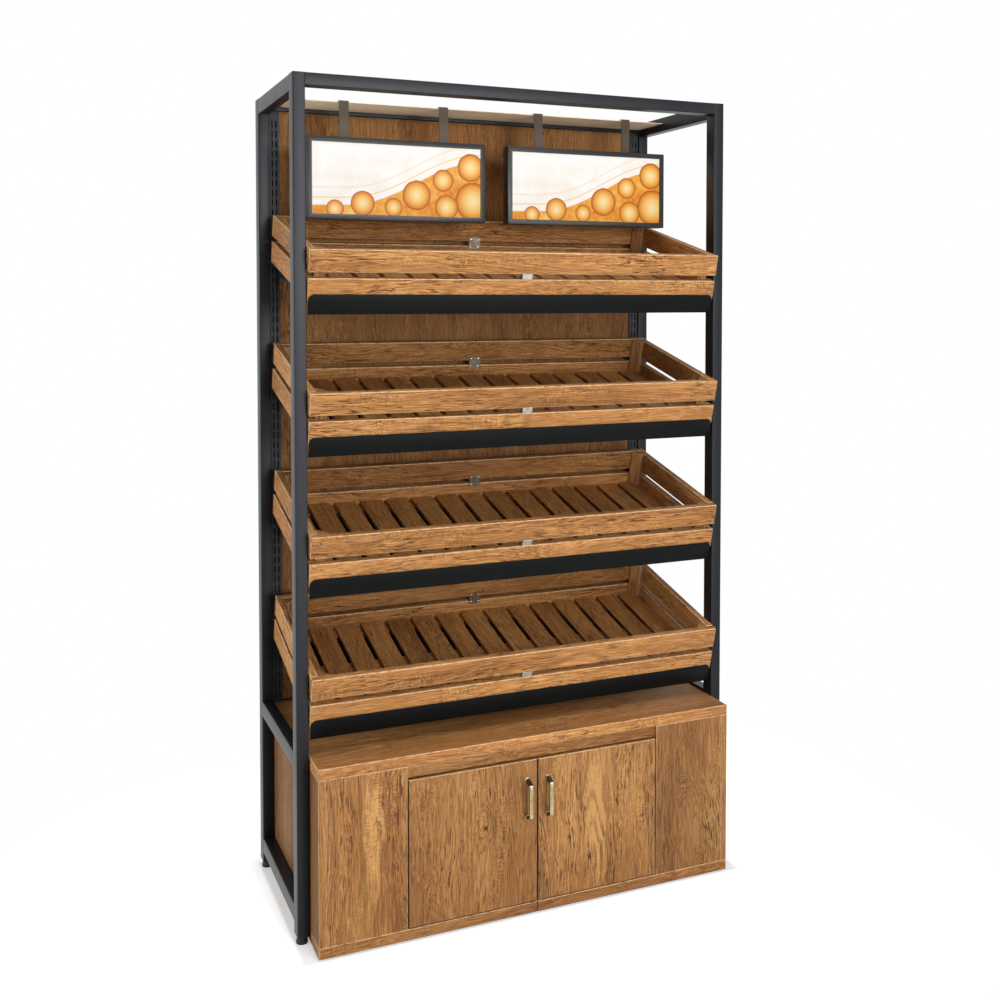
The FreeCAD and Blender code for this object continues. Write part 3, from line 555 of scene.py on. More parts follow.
def sign_print(name):
    """Lit sheet: cream ground, amber rounds on a warm field that rises to the right."""
    material, tree, shader = new_material(name)
    place = axes(tree, object_place(tree))
    # both signs carry the same sheet: place along each sign, 0 at its left end
    along = calc(tree, "FLOORED_MODULO",
                 calc(tree, "SUBTRACT", place[0], SIGN_CENTRES[0] - SIGN_HALF), SIGN_STEP)
    up = calc(tree, "SUBTRACT", place[2], SIGN_LOW)
    sheet = add(tree, "ShaderNodeCombineXYZ")
    feed(tree, sheet.inputs, (along, 0.0, up))
    sheet = sheet.outputs[0]
    grain = noise(tree, sheet, 70.0, 4.0, 0.7)
    cloud = noise(tree, sheet, 14.0, 3.0, 0.6)
    sway = product(tree, calc(tree, "SINE", calc(tree, "MULTIPLY_ADD", along, 13.0, 2.4)), 0.020)
    edge = calc(tree, "ADD", calc(tree, "MULTIPLY_ADD", along, 0.27, 0.022), sway)
    depth = calc(tree, "SUBTRACT", edge, up)
    warm = ramp(tree, summed(tree, (cloud, 0.55), (grain, 0.35)),
                [(0.30, (0.60, 0.15, 0.015)), (0.44, (0.84, 0.34, 0.040)),
                 (0.56, (0.92, 0.52, 0.12)), (0.70, (0.95, 0.68, 0.26))])
    cream = ramp(tree, cloud, [(0.35, (0.93, 0.87, 0.79)), (0.60, (0.98, 0.955, 0.925))])
    lines = ramp(tree, calc(tree, "SINE", product(tree, depth, 240.0)), [(0.80, 0.0), (0.95, 1.0)])
    fading = ramp(tree, calc(tree, "MULTIPLY_ADD", depth, 11.0, 1.0, clamp=True),
                  [(0.10, 0.0), (0.85, 0.75)])
    cream = blend(tree, product(tree, lines, fading), cream, (0.93, 0.62, 0.22))
    field = ramp(tree, calc(tree, "MULTIPLY_ADD", depth, 40.0, 0.5, clamp=True), [(0.46, 0.0), (0.54, 1.0)])
    colour = blend(tree, field, cream, warm)
    for centre, radius in SIGN_ROUNDS:
        colour = amber_round(tree, sheet, colour, centre, radius, grain)
    dress(tree, shader, {
        "Base Color": blend(tree, 0.62, colour, (0.0, 0.0, 0.0)),
        "Emission Color": colour,
        "Emission Strength": 0.60,
        "Roughness": 0.4,
        "Specular IOR Level": 0.12,
    })
    return material


def glowing(name, colour, strength):
    """Light strip: bright chips in a slightly darker carrier."""
    material, tree, shader = new_material(name)
    chips = noise(tree, object_place(tree), 300.0, 1.0)
    tint = ramp(tree, chips, [(0.35, toned(colour, 0.8)), (0.65, colour)])
    dress(tree, shader, {"Base Color": tint, "Emission Color": tint, "Emission Strength": strength})
    return material


oak_front = oak("oak_crate_front", "slope_across", tone=1.27, contrast=0.95, knots=True)
# the rear boards take a darker copy of the front boards' oak: painted shade at the back of the crates
oak_rear_painted_shade = oak("oak_crate_rear_painted_shade", "slope_across", tone=1.02, contrast=0.95, knots=True)
oak_end = oak("oak_crate_depth", "slope_depth", tone=1.22, contrast=0.9, knots=True)
oak_slat = oak("oak_crate_floor", "slope_depth", tone=1.32, contrast=0.85)
oak_post = oak("oak_crate_posts", "slope_upright", tone=0.95)
oak_panel = oak("oak_back_panel", "upright", (0.9, 0.0, 0.35), tone=0.98, contrast=0.75, knots=True)
oak_carcass = oak("oak_cupboard_across", "across", tone=0.95, contrast=0.9)
oak_top = oak("oak_cupboard_top", "across", tone=1.10, contrast=0.75)
oak_banding = oak("oak_edge_banding", "across", tone=1.42, contrast=0.8)
oak_upright_banding = oak("oak_upright_banding", "upright", tone=1.05, contrast=0.7)
# the cupboard sides take a much darker tone: painted shade from the uprights and rails
oak_sides_painted_shade = oak("oak_cupboard_sides_painted_shade", "upright", tone=0.54, contrast=0.7, knots=True)
oak_left_fixed = oak("oak_left_fixed_front", "upright", (0.55, 0.0, 0.17), tone=1.05, contrast=0.95,
                     bright=((-0.434, 0.28, 0.034, 0.22, 0.95, 0.6),
                             (-0.462, 0.10, 0.045, 0.10, 0.30, 1.0)))
oak_right_fixed = oak("oak_right_fixed_front", "upright", (0.11, 0.0, 0.77), tone=0.79)
oak_left_door = oak("oak_left_door", "upright", (0.21, 0.0, 0.62), tone=0.92, contrast=0.85,
                    knot=(-0.143, 0.245), bright=((-0.19, 0.20, 0.10, 0.20, 0.14, 0.3),))
oak_right_door = oak("oak_right_door", "upright", (0.93, 0.0, 0.41), tone=0.93, contrast=1.05,
                     bright=((0.165, 0.17, 0.044, 0.22, 0.92, 0.30),
                             (0.255, 0.24, 0.060, 0.16, 0.45, 0.8)))
oak_inside = oak("oak_cupboard_inside", "upright", (0.7, 0.5, 0.1), tone=0.8)
# pale edge wood, worn; the boards give it to edges that look up, as a painted highlight
edge_wear_and_painted_highlight = oak_edge_wood("oak_edge_wear_and_painted_highlight")
soft_edge = oak_edge_wood("oak_soft_edge", 0.66)
# near-black edge wood for edges in narrow gaps and facing down: painted shade
gap_painted_shade = oak_edge_wood("oak_gap_painted_shade", 0.07)
graphite_coat = painted_steel("graphite_coat", GRAPHITE, 0.37, 0.25, glint=(0.93, 0.945, 1.0))
black_coat = painted_steel("black_coat", (0.0028, 0.0040, 0.0040), 0.50, 0.10)
standard_coat = painted_steel("dark_standard_coat", (0.040, 0.042, 0.046), 0.48, 0.22)
# beige paint, pushed pale and warm: partly painted warm light bounced up from the wood
beige_paint_and_painted_bounce = painted_steel("beige_paint_and_painted_bounce", (0.95, 0.78, 0.56), 0.5, 0.4, 0.04)
# dark paint tinted warm brown: partly painted warm light on the straps in shade
strap_paint_and_painted_warm_light = painted_steel("strap_paint_and_painted_warm_light", (0.072, 0.051, 0.031), 0.45, 0.28)
sign_coat = painted_steel("sign_frame_coat", (0.024, 0.0235, 0.0225), 0.35, 0.32)
black_plastic = moulded_plastic("black_plastic", (0.010, 0.010, 0.011), 0.45)
zinc = metal("zinc_plate", (0.47, 0.44, 0.37), 0.38, (0.30, 0.27, 0.21))
screw_zinc = metal("bright_screw", (0.90, 0.87, 0.80), 0.22, (0.70, 0.66, 0.58))
# darker copy of the plate's zinc for the tongue in the gap: painted shade
tongue_zinc_painted_shade = metal("zinc_with_painted_shade", (0.37, 0.35, 0.31), 0.45, (0.24, 0.22, 0.18))
PLATE_FINISHES = (zinc, screw_zinc, tongue_zinc_painted_shade)
old_brass = metal("old_brass", (0.47, 0.41, 0.24), 0.22, (0.33, 0.27, 0.13), (1.0, 1.0, 0.04))
# dark brass for legs, sides and undersides: tarnish and painted shade
tarnish_and_painted_shade_brass = metal("tarnish_and_painted_shade_brass", (0.090, 0.062, 0.026), 0.35, (0.050, 0.034, 0.014))
# near-white brass for the elbows' upward faces: painted highlight
rubbed_and_painted_highlight_brass = metal("rubbed_and_painted_highlight_brass", (0.95, 0.91, 0.80), 0.14, (0.80, 0.73, 0.55))
sign_face = sign_print("sign_print")
light_strip = glowing("light_strip", (0.95, 0.88, 0.70), 0.9)

NODE_FINISH = {
    standard_coat: ["slotted_standards"],
    black_coat: ["shelf_brackets"],
    beige_paint_and_painted_bounce: ["sign_shelf"],
    strap_paint_and_painted_warm_light: ["sign_straps"],
    sign_coat: ["sign_back_plates"],
    sign_face: ["sign_faces"],
    light_strip: ["sign_light_strips"],
    black_plastic: ["upright_plugs", "sign_power_sockets", "cabinet_glides", "cabinet_packers"],
    oak_panel: ["back_panel"],
    oak_inside: ["cabinet_back", "cabinet_stiles"],
    zinc: ["hinge_arms", "left_hinge_cups", "right_hinge_cups"],
}
for coat, nodes in NODE_FINISH.items():
    for node in nodes:
        frame["nodes"][node].data.materials.clear()
        frame["nodes"][node].data.materials.append(coat)


# --------------------------------------------------------------- mesh helpers
def nothing_selected():
    bpy.ops.object.select_all(action="DESELECT")


def only(obj):
    nothing_selected()
    obj.select_set(True)
    bpy.context.view_layer.objects.active = obj


def settle(obj):
    """Put the object's place, turn and size into its mesh."""
    only(obj)
    bpy.ops.object.transform_apply(location=True, rotation=True, scale=True)


def block(name, low, high):
    nothing_selected()
    bpy.ops.mesh.primitive_cube_add(size=1.0, location=[(a + b) / 2 for a, b in zip(low, high)])
    obj = bpy.context.object
    obj.name = name
    obj.scale = [abs(b - a) for a, b in zip(low, high)]
    settle(obj)
    return obj


def edit(obj, kind):
    """Edit mode with no edge or face selected yet."""
    only(obj)
    bpy.ops.object.mode_set(mode="EDIT")
    bpy.ops.mesh.select_mode(type=kind)
    bpy.ops.mesh.select_all(action="DESELECT")


def edit_edges(obj, wanted):
    """Edit mode with the edges selected whose two ends pass the test."""
    edit(obj, "EDGE")
    mesh = bmesh.from_edit_mesh(obj.data)
    for edge in mesh.edges:
        edge.select = wanted(edge.verts[0].co, edge.verts[1].co)
    mesh.select_flush_mode()
    bmesh.update_edit_mesh(obj.data)


def edit_faces(obj, wanted):
    """Edit mode with the faces selected whose middle and normal pass the test."""
    edit(obj, "FACE")
    mesh = bmesh.from_edit_mesh(obj.data)
    for face in mesh.faces:
        face.select = wanted(face.calc_center_median(), face.normal)
    mesh.select_flush_mode()
    bmesh.update_edit_mesh(obj.data)


def done_editing():
    bpy.ops.object.mode_set(mode="OBJECT")


def every_edge(first, second):
    return True


def ease(obj, wanted, width, segments=2, finish=-1):
    """Round the edges that pass the test; the new faces may take a finish of their own."""
    edit_edges(obj, wanted)
    bpy.ops.mesh.bevel(offset=width, segments=segments, affect="EDGES", material=finish)
    done_editing()


def push(step):
    """Extrude the selected faces by a step."""
    bpy.ops.mesh.extrude_region_move(TRANSFORM_OT_translate={"value": step})


def bar(sides, radius, length, middle, turn=(0.0, 0.0, 0.0)):
    """Round or many-sided bar, upright before its turn."""
    nothing_selected()
    bpy.ops.mesh.primitive_cylinder_add(vertices=sides, radius=radius, depth=length, location=middle,
                                        rotation=turn)
    obj = bpy.context.object
    settle(obj)
    return obj


def along_axis(axis):
    """Test for edges that run straight along one axis."""
    return lambda a, b: abs(a[axis] - b[axis]) > TINY and (a - b).length - abs(a[axis] - b[axis]) < TINY


def board(name, low, high, eased=EASED_BOARD):
    """Sawn board with eased edges; the edges that look up take the pale edge wood, wear and a painted
    highlight of light from above.
    """
    obj = block(name, low, high)
    for material in (oak_front, soft_edge, edge_wear_and_painted_highlight):
        obj.data.materials.append(material)
    ease(obj, every_edge, eased, finish=1)
    # edges that look up take the paler copy of the edge wood: painted highlight
    for face in obj.data.polygons:
        if face.material_index == 1 and face.normal.z > LEANING:
            face.material_index = 2
    return obj


def paint_gap_shade(obj, left=True, right=True):
    """The edges beside and below a narrow gap take the fourth finish, near-black wood: painted shade in the
    gap.
    """
    obj.data.materials.append(gap_painted_shade)
    for face in obj.data.polygons:
        beside = (left and face.normal.x < -LEANING) or (right and face.normal.x > LEANING)
        if (beside and abs(face.normal.z) < STEEP) or face.normal.z < -LEANING:
            face.material_index = 3
    return obj


def span(side, inner, outer):
    """Low and high X of a piece on the left (-1) or the right (1)."""
    return sorted((side * inner, side * outer))


def copy_piece(obj, name, move=(0.0, 0.0, 0.0), flip_x=False):
    """Copy with its own mesh, moved or mirrored in the mesh itself."""
    twin = obj.copy()
    twin.data = obj.data.copy()
    twin.name = name
    bpy.context.scene.collection.objects.link(twin)
    if flip_x:
        twin.data.transform(Matrix.Diagonal((-1.0, 1.0, 1.0, 1.0)))
        twin.data.flip_normals()
    twin.data.transform(Matrix.Translation(move))
    return twin


def shift_grain(obj):
    """Every board is cut from its own place in the wood."""
    shift = [random.uniform(-3.0, 3.0), random.uniform(-1.0, 1.0), random.uniform(-1.0, 1.0)]
    layer = obj.data.attributes.get("grain_shift")
    if layer is None:
        layer = obj.data.attributes.new("grain_shift", "FLOAT_VECTOR", "POINT")
    for item in layer.data:
        item.vector = shift


def finished(name, parts, materials, body, slot, *replaced):
    """Join parts to one piece with its finish, on its body and in place of the plain parts."""
    nothing_selected()
    for part in parts:
        part.select_set(True)
    bpy.context.view_layer.objects.active = parts[0]
    if len(parts) > 1:
        bpy.ops.object.join()
    obj = bpy.context.object
    obj.name = name
    obj.data.name = name
    while len(obj.data.materials) < len(materials):
        obj.data.materials.append(None)
    for index, material in enumerate(materials):
        obj.data.materials[index] = material
    bpy.ops.object.shade_smooth_by_angle(angle=SMOOTH_UNDER)
    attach(obj, body)
    if replaced:
        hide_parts(*replaced)
    return obj


# ----------------------------------------------------------------- tube frame
def tube(low, high, axis):
    """Steel tube with rounded long edges."""
    obj = block("tube", low, high)
    ease(obj, along_axis(axis), TUBE_ROUND, segments=4)
    return obj


def hollow_end(obj):
    """Open lower end of an upright, as thick as its wall."""
    edit_faces(obj, lambda middle, normal: normal.z < -SQUARE_ON)
    bpy.ops.mesh.inset(thickness=TUBE_WALL)
    push((0.0, 0.0, HOLLOW_DEPTH))
    done_editing()


def upright(side, low_y):
    low_x, high_x = span(side, INNER_HALF, FRAME_HALF)
    obj = tube((low_x, low_y, UPRIGHT_LOW), (high_x, low_y + TUBE_WIDE, FRAME_TOP), 2)
    hollow_end(obj)
    return obj


def side_rail(side, top):
    low_x, high_x = span(side, INNER_HALF, FRAME_HALF)
    return tube((low_x, FRAME_FRONT + TUBE_WIDE, top - TUBE_WIDE), (high_x, REAR_UPRIGHT_FACE, top), 1)


def cross_rail(low_y, low_z, high_y, high_z):
    return tube((-INNER_HALF, low_y, low_z), (INNER_HALF, high_y, high_z), 0)


STEEL = [graphite_coat]
for depth_name, low_y in DEPTHS:
    for side_name, side in SIDES:
        finished("%s_%s_upright_tube" % (depth_name, side_name), [upright(side, low_y)], STEEL, "rack",
                 "frame_paint", "%s_%s_upright" % (depth_name, side_name))
for side_name, side in SIDES:
    finished(side_name + "_side_rail_tubes", [side_rail(side, top) for top in SIDE_RAIL_TOPS], STEEL,
             "rack", "frame_paint", side_name + "_side_rails")
finished("top_front_rail_tube",
         [cross_rail(FRAME_FRONT, TOP_RAIL_LOW, FRAME_FRONT + TUBE_WIDE, FRAME_TOP)],
         STEEL, "rack", "frame_paint", "top_front_rail")
rear_rails = [cross_rail(REAR_UPRIGHT_FACE, TOP_RAIL_LOW, FRAME_BACK, FRAME_TOP)]
for top in REAR_RAIL_TOPS:
    rear_rails.append(cross_rail(FRAME_BACK - TUBE_NARROW, top - TUBE_WIDE, FRAME_BACK, top))
finished("rear_cross_rail_tubes", rear_rails, STEEL, "rack", "frame_paint", "rear_cross_rails")


def levelling_foot(x, y):
    """Round pad with a sloping shoulder, a hexagonal nut and a threaded stem."""
    pad = bar(32, PAD_R, PAD_FLANGE, (x, y, PAD_FLANGE / 2))
    edit_faces(pad, lambda middle, normal: normal.z > SQUARE_ON)
    push((0.0, 0.0, PAD_RISE - PAD_FLANGE))
    bpy.ops.transform.resize(value=(PAD_TAPER, PAD_TAPER, 1.0), center_override=(x, y, PAD_RISE))
    done_editing()
    ease(pad, lambda a, b: abs(a.z - b.z) < TINY and a.z < PAD_FLANGE + TINY, EASED_PAD)
    nut_low = PAD_RISE - NUT_SEAT
    nut = bar(6, NUT_R, NUT_TOP - nut_low, (x, y, (NUT_TOP + nut_low) / 2))
    ease(nut, lambda a, b: abs(a.z - b.z) < TINY and a.z > NUT_TOP - TINY, EASED_NUT)
    stem = bar(20, STEM_R * THREAD_ROOT, STEM_START, (x, y, NUT_TOP - STEM_SEAT))
    edit_faces(stem, lambda middle, normal: normal.z > SQUARE_ON)
    for size in THREAD_TURNS * (1.0 / THREAD_ROOT, THREAD_ROOT):
        push((0.0, 0.0, THREAD_RISE))
        bpy.ops.transform.resize(value=(size, size, 1.0), center_override=(x, y, NUT_TOP))
    push((0.0, 0.0, STEM_PLAIN))
    done_editing()
    return [pad, nut, stem]


for depth_name, low_y in DEPTHS:
    for side_name, side in SIDES:
        corner = "%s_%s" % (depth_name, side_name)
        foot = levelling_foot(side * (FRAME_HALF - TUBE_NARROW / 2), low_y + TUBE_WIDE / 2)
        finished(corner + "_pad_and_stem", foot, [black_plastic], "levelling_foot_" + corner,
                 "black_plastic", "foot_" + corner)


# --------------------------------------------------------------------- crates
def front_boards():
    """The two boards in front, as long as the crate is wide."""
    lower = board("front_board", (-CRATE_HALF, -CRATE_LENGTH, SEAT_GAP),
                  (CRATE_HALF, FRONT_FACE, BOARD_HEIGHT))
    return [lower, copy_piece(lower, "front_board", (0.0, 0.0, UPPER_BOARD))]


def rear_boards():
    """The same two boards at the rear."""
    parts = front_boards()
    for item in parts:
        item.name = "rear_board"
        item.data.transform(Matrix.Translation((0.0, CRATE_LENGTH - BOARD_THICK, 0.0)))
    return parts


def end_boards():
    """Two boards at each end, between the front and the rear boards."""
    lower = board("end_board", (INNER_END, FRONT_FACE, SEAT_GAP), (CRATE_HALF, REAR_FACE, BOARD_HEIGHT))
    upper = copy_piece(lower, "end_board", (0.0, 0.0, UPPER_BOARD))
    return [lower, upper, copy_piece(lower, "end_board", flip_x=True),
            copy_piece(upper, "end_board", flip_x=True)]


def floor_parts():
    """Slats from front to back on three battens."""
    width = (2 * INNER_END - (SLAT_COUNT - 1) * SLAT_GAP) / SLAT_COUNT
    slat = board("slat", (-INNER_END, FRONT_FACE, BATTEN_THICK),
                 (-INNER_END + width, REAR_FACE, CRATE_FLOOR), EASED_SLAT)
    batten = board("batten", (-INNER_END, FRONT_FACE, SEAT_GAP),
                   (INNER_END, FRONT_FACE + BATTEN_WIDTH, BATTEN_THICK), EASED_SMALL)
    step = (REAR_FACE - FRONT_FACE - BATTEN_WIDTH) / (BATTEN_COUNT - 1)
    slats = [copy_piece(slat, "slat", (k * (width + SLAT_GAP), 0.0, 0.0)) for k in range(1, SLAT_COUNT)]
    battens = [copy_piece(batten, "batten", (0.0, k * step, 0.0)) for k in range(1, BATTEN_COUNT)]
    return [slat, *slats, batten, *battens]


def corner_posts():
    """Square posts whose inner corner is cut off."""
    parts = []
    inner_x = INNER_END - POST_SIZE
    for low_y, inward in ((FRONT_FACE, 1), (REAR_FACE, -1)):
        far_y = low_y + inward * POST_SIZE
        post = block("post", (inner_x, min(low_y, far_y), CRATE_FLOOR),
                     (INNER_END, max(low_y, far_y), CRATE_HEIGHT - POST_DROP))
        post.data.materials.append(oak_post)
        post.data.materials.append(soft_edge)
        ease(post, lambda a, b: all(abs(end.x - inner_x) < TINY and abs(end.y - far_y) < TINY
                                    for end in (a, b)), POST_CUT, segments=1)
        ease(post, every_edge, EASED_SMALL, segments=1, finish=1)
        parts += [post, copy_piece(post, "post", flip_x=True)]
    return parts


def rounded_plate(low, high):
    """Thin plate whose corners are rounded in the plane it lies in."""
    plate = block("tie_plate", low, high)
    ease(plate, along_axis(1), TIE_PLATE_CORNER, segments=4)
    return plate


def domed_screw(x, y, z):
    nothing_selected()
    bpy.ops.mesh.primitive_uv_sphere_add(segments=12, ring_count=6, radius=SCREW_R, location=(x, y, z))
    screw = bpy.context.object
    screw.scale = (1.0, SCREW_RISE / SCREW_R, 1.0)
    settle(screw)
    return screw


def in_finish(obj, finishes, chosen):
    """Give a part a list of finishes, and all its faces the chosen one."""
    for finish in finishes:
        obj.data.materials.append(finish)
    for face in obj.data.polygons:
        face.material_index = finishes.index(chosen)
    return obj


def tie_plates():
    """Square plates over the gap between boards; the front one has a folded tongue in the gap."""
    mid = BOARD_HEIGHT + BOARD_GAP / 2
    half = TIE_PLATE / 2
    parts = []
    for x, face, inward in ((TIE_PLATE_FRONT_X, FRONT_FACE, 1), (TIE_PLATE_REAR_X, REAR_FACE, -1)):
        outer = face + inward * TIE_PLATE_THICK
        plate = rounded_plate((x - half, min(face, outer), mid - half),
                              (x + half, max(face, outer), mid + half))
        parts.append(in_finish(plate, PLATE_FINISHES, zinc))
        for dx in (-1, 1):
            for dz in (-1, 1):
                screw = domed_screw(x + dx * SCREW_SPACING / 2, outer, mid + dz * SCREW_SPACING / 2)
                parts.append(in_finish(screw, PLATE_FINISHES, screw_zinc))
    half = TIE_TONGUE_WIDTH / 2
    tip = -CRATE_LENGTH + TIE_TONGUE_SETBACK
    tongue = block("tongue", (TIE_PLATE_FRONT_X - half, tip, BOARD_HEIGHT),
                   (TIE_PLATE_FRONT_X + half, FRONT_FACE, UPPER_BOARD + SEAT_GAP))
    edit_faces(tongue, lambda middle, normal: normal.y < -SQUARE_ON)
    bpy.ops.mesh.inset(thickness=TIE_TONGUE_RIM)
    push((0.0, TIE_TONGUE_DISH, 0.0))
    done_editing()
    ease(tongue, lambda a, b: max(a.y, b.y) < tip + TINY, EASED_SHEET)
    parts.append(in_finish(tongue, PLATE_FINISHES, tongue_zinc_painted_shade))
    return parts


def crate_pivot(number):
    """Rear lower edge of a crate, about which it tilts."""
    for joint in frame["record"]["behaviour"]["joints"]:
        if joint["child"] == "crate_%d" % number:
            return Vector(joint["pos_m"])


def place_on_shelf(obj, number):
    obj.data.transform(Matrix.Translation(crate_pivot(number)) @ Matrix.Rotation(SLOPE, 4, "X"))


CRATE_PARTS = (
    ("front_boards", front_boards, [oak_front, soft_edge, edge_wear_and_painted_highlight], "oak_board", "boards"),
    ("rear_boards", rear_boards, [oak_rear_painted_shade, soft_edge, edge_wear_and_painted_highlight], "oak_board", "boards"),
    ("end_boards", end_boards, [oak_end, soft_edge, edge_wear_and_painted_highlight], "oak_board", "boards"),
    ("floor_boards", floor_parts, [oak_slat, soft_edge, soft_edge], "oak_solid", "floor"),
    ("corner_posts", corner_posts, [oak_post, soft_edge], "oak_solid", "posts"),
    ("plates_and_screws", tie_plates, PLATE_FINISHES, "zinc_plate", "tie_plates"),
)
for part_name, maker, materials, slot, node in CRATE_PARTS:
    models = maker()
    for number in CRATE_NUMBERS:
        copies = [copy_piece(model, part_name) for model in models]
        for item in copies:
            shift_grain(item)
            place_on_shelf(item, number)
        finished("crate_%d_%s" % (number, part_name), copies, materials, "crate_%d" % number, slot,
                 "crate_%d_%s" % (number, node))
    for model in models:
        bpy.data.objects.remove(model)


# --------------------------------------------------- shelves, signs and handles
def merged_copy(node):
    """Copy of a plain part with its corners joined and its flat faces whole again."""
    obj = bpy.data.objects.new(node + "_copy", frame["nodes"][node].data.copy())
    bpy.context.scene.collection.objects.link(obj)
    only(obj)
    bpy.ops.object.mode_set(mode="EDIT")
    bpy.ops.mesh.select_all(action="SELECT")
    bpy.ops.mesh.remove_doubles(threshold=TINY)
    bpy.ops.mesh.dissolve_limited(angle_limit=FLAT_UNDER)
    done_editing()
    return obj


def rounded_copy(node, width, segments=2, sharp=40.0):
    """Merged copy with rounded edges where its surface turns by more than so many degrees."""
    obj = merged_copy(node)
    edit(obj, "EDGE")
    bpy.ops.mesh.edges_select_sharp(sharpness=math.radians(sharp))
    bpy.ops.mesh.bevel(offset=width, segments=segments, affect="EDGES")
    done_editing()
    return obj


for number in CRATE_NUMBERS:
    finished("shelf_%d_sheet_and_lip" % number, [rounded_copy("shelf_%d" % number, EASED_SHEET)],
             [black_coat], "rack", "shelf_black", "shelf_%d" % number)


def handle_with_painted_light(side_name):
    """Bow handle: legs, sides and undersides take the dark brass, tarnish and painted shade; the elbows'
    upward faces take the pale brass, rubbed bright and a painted highlight.
    """
    obj = rounded_copy(side_name + "_handle", EASED_HANDLE, segments=3, sharp=25.0)
    points = [corner.co.x for corner in obj.data.vertices]
    middle = (min(points) + max(points)) / 2
    for corner in obj.data.vertices:
        corner.co.x = middle + (corner.co.x - middle) * HANDLE_SWELL
    # legs, sides and undersides take the dark brass, painted shade; upward elbow faces the pale brass,
    # painted highlight
    for face in obj.data.polygons:
        out = CUPBOARD_FRONT - face.center.y
        leg = HANDLE_FOOT < out < HANDLE_ELBOW
        if leg or abs(face.normal.x) > STEEP or face.normal.z < -LEANING:
            face.material_index = 1
        elif out > HANDLE_ELBOW and face.normal.z > SLIGHT:
            face.material_index = 2
    return obj


for side_name, side in SIDES:
    finished(side_name + "_bow_handle", [handle_with_painted_light(side_name)],
             [old_brass, tarnish_and_painted_shade_brass, rubbed_and_painted_highlight_brass], side_name + "_door_leaf", "old_brass",
             side_name + "_handle")


def sign_case(centre):
    """Box frame of a sign: a lip round the lit sheet and rounded outer edges."""
    obj = block("sign_case", (centre - SIGN_HALF, SIGN_FRONT, SIGN_LOW),
                (centre + SIGN_HALF, SIGN_BACK, SIGN_TOP))
    ease(obj, every_edge, EASED_SIGN)
    edit_faces(obj, lambda middle, normal: normal.y < -SQUARE_ON)
    bpy.ops.mesh.inset(thickness=SIGN_LIP - EASED_SIGN)
    push((0.0, SIGN_RECESS, 0.0))
    done_editing()
    return obj


finished("sign_box_frames", [sign_case(centre) for centre in SIGN_CENTRES], [sign_coat], "rack",
         "sign_frame", "sign_cases")


# ------------------------------------------------------------------- cupboard
def cupboard_board(low, high, eased=EASED_CUPBOARD):
    obj = board("board", low, high, eased)
    shift_grain(obj)
    return obj


def both_sides(obj):
    """A board and its mirrored twin, cut from another place in the wood."""
    twin = copy_piece(obj, obj.name, flip_x=True)
    shift_grain(twin)
    return [twin, obj]


def banded(obj, wanted):
    """Flat faces whose normal passes the test take the lighter edge banding."""
    obj.data.materials.append(oak_banding)
    for face in obj.data.polygons:
        if face.material_index == 0 and wanted(face.normal):
            face.material_index = 3
    return obj


finished("cupboard_top_board",
         [banded(cupboard_board((-CUPBOARD_HALF, CUPBOARD_FRONT, INSIDE_TOP),
                                (CUPBOARD_HALF, CUPBOARD_BACK, CUPBOARD_TOP), EASED_TOP),
                 lambda normal: abs(normal.z) < LEANING)],
         [oak_top, soft_edge, edge_wear_and_painted_highlight, oak_banding], "rack", "oak_board", "cabinet_top")
finished("cupboard_base_boards",
         both_sides(paint_gap_shade(cupboard_board((BASE_SEAM_HALF, CUPBOARD_FRONT, CUPBOARD_LOW),
                                              (CUPBOARD_HALF, CUPBOARD_BACK, INSIDE_LOW)), right=False)),
         [oak_carcass, soft_edge, edge_wear_and_painted_highlight, gap_painted_shade], "rack", "oak_board", "cabinet_base")
finished("cupboard_side_boards",
         both_sides(banded(cupboard_board((CUPBOARD_HALF - THIN_BOARD, CUPBOARD_FRONT, INSIDE_LOW),
                                          (CUPBOARD_HALF, CUPBOARD_BACK, INSIDE_TOP), EASED_FRONT),
                           lambda normal: normal.y < -SQUARE_ON)),
         [oak_sides_painted_shade, soft_edge, edge_wear_and_painted_highlight, oak_upright_banding], "rack", "oak_board", "cabinet_sides")
rail_front = CUPBOARD_FRONT + HEAD_RAIL_RECESS
finished("cupboard_head_rail",
         [cupboard_board((-OPENING_HALF, rail_front, HEAD_RAIL_LOW),
                         (OPENING_HALF, rail_front + THIN_BOARD, INSIDE_TOP), EASED_FRONT)],
         [oak_carcass, soft_edge, edge_wear_and_painted_highlight], "rack", "oak_board", "cabinet_head_rail")
for (side_name, side), wood in zip(SIDES, (oak_left_fixed, oak_right_fixed)):
    low_x, high_x = span(side, OPENING_HALF, CUPBOARD_HALF - THIN_BOARD)
    finished(side_name + "_fixed_front",
             [board("fixed_front", (low_x, CUPBOARD_FRONT, INSIDE_LOW),
                    (high_x, CUPBOARD_FRONT + THIN_BOARD, INSIDE_TOP), EASED_FRONT)],
             [wood, soft_edge, edge_wear_and_painted_highlight], "rack", "oak_board", "cabinet_fixed_fronts")


def door_leaf(side):
    """Door with eased edges and two hinge cup bores in its back."""
    low_x, high_x = span(side, DOOR_INNER, DOOR_OUTER)
    back = CUPBOARD_FRONT + THIN_BOARD
    leaf = paint_gap_shade(board("door", (low_x, CUPBOARD_FRONT, DOOR_LOW), (high_x, back, DOOR_TOP),
                            EASED_CUPBOARD))
    for z in CUP_HEIGHTS:
        cutter = bar(40, CUP_BORE_R, 2 * CUP_BORE_DEPTH, (side * CUP_X, back, z), (math.pi / 2, 0.0, 0.0))
        only(leaf)
        bore = leaf.modifiers.new("bore", "BOOLEAN")
        bore.operation = "DIFFERENCE"
        bore.object = cutter
        bpy.ops.object.modifier_apply(modifier=bore.name)
        bpy.data.objects.remove(cutter)
    return leaf


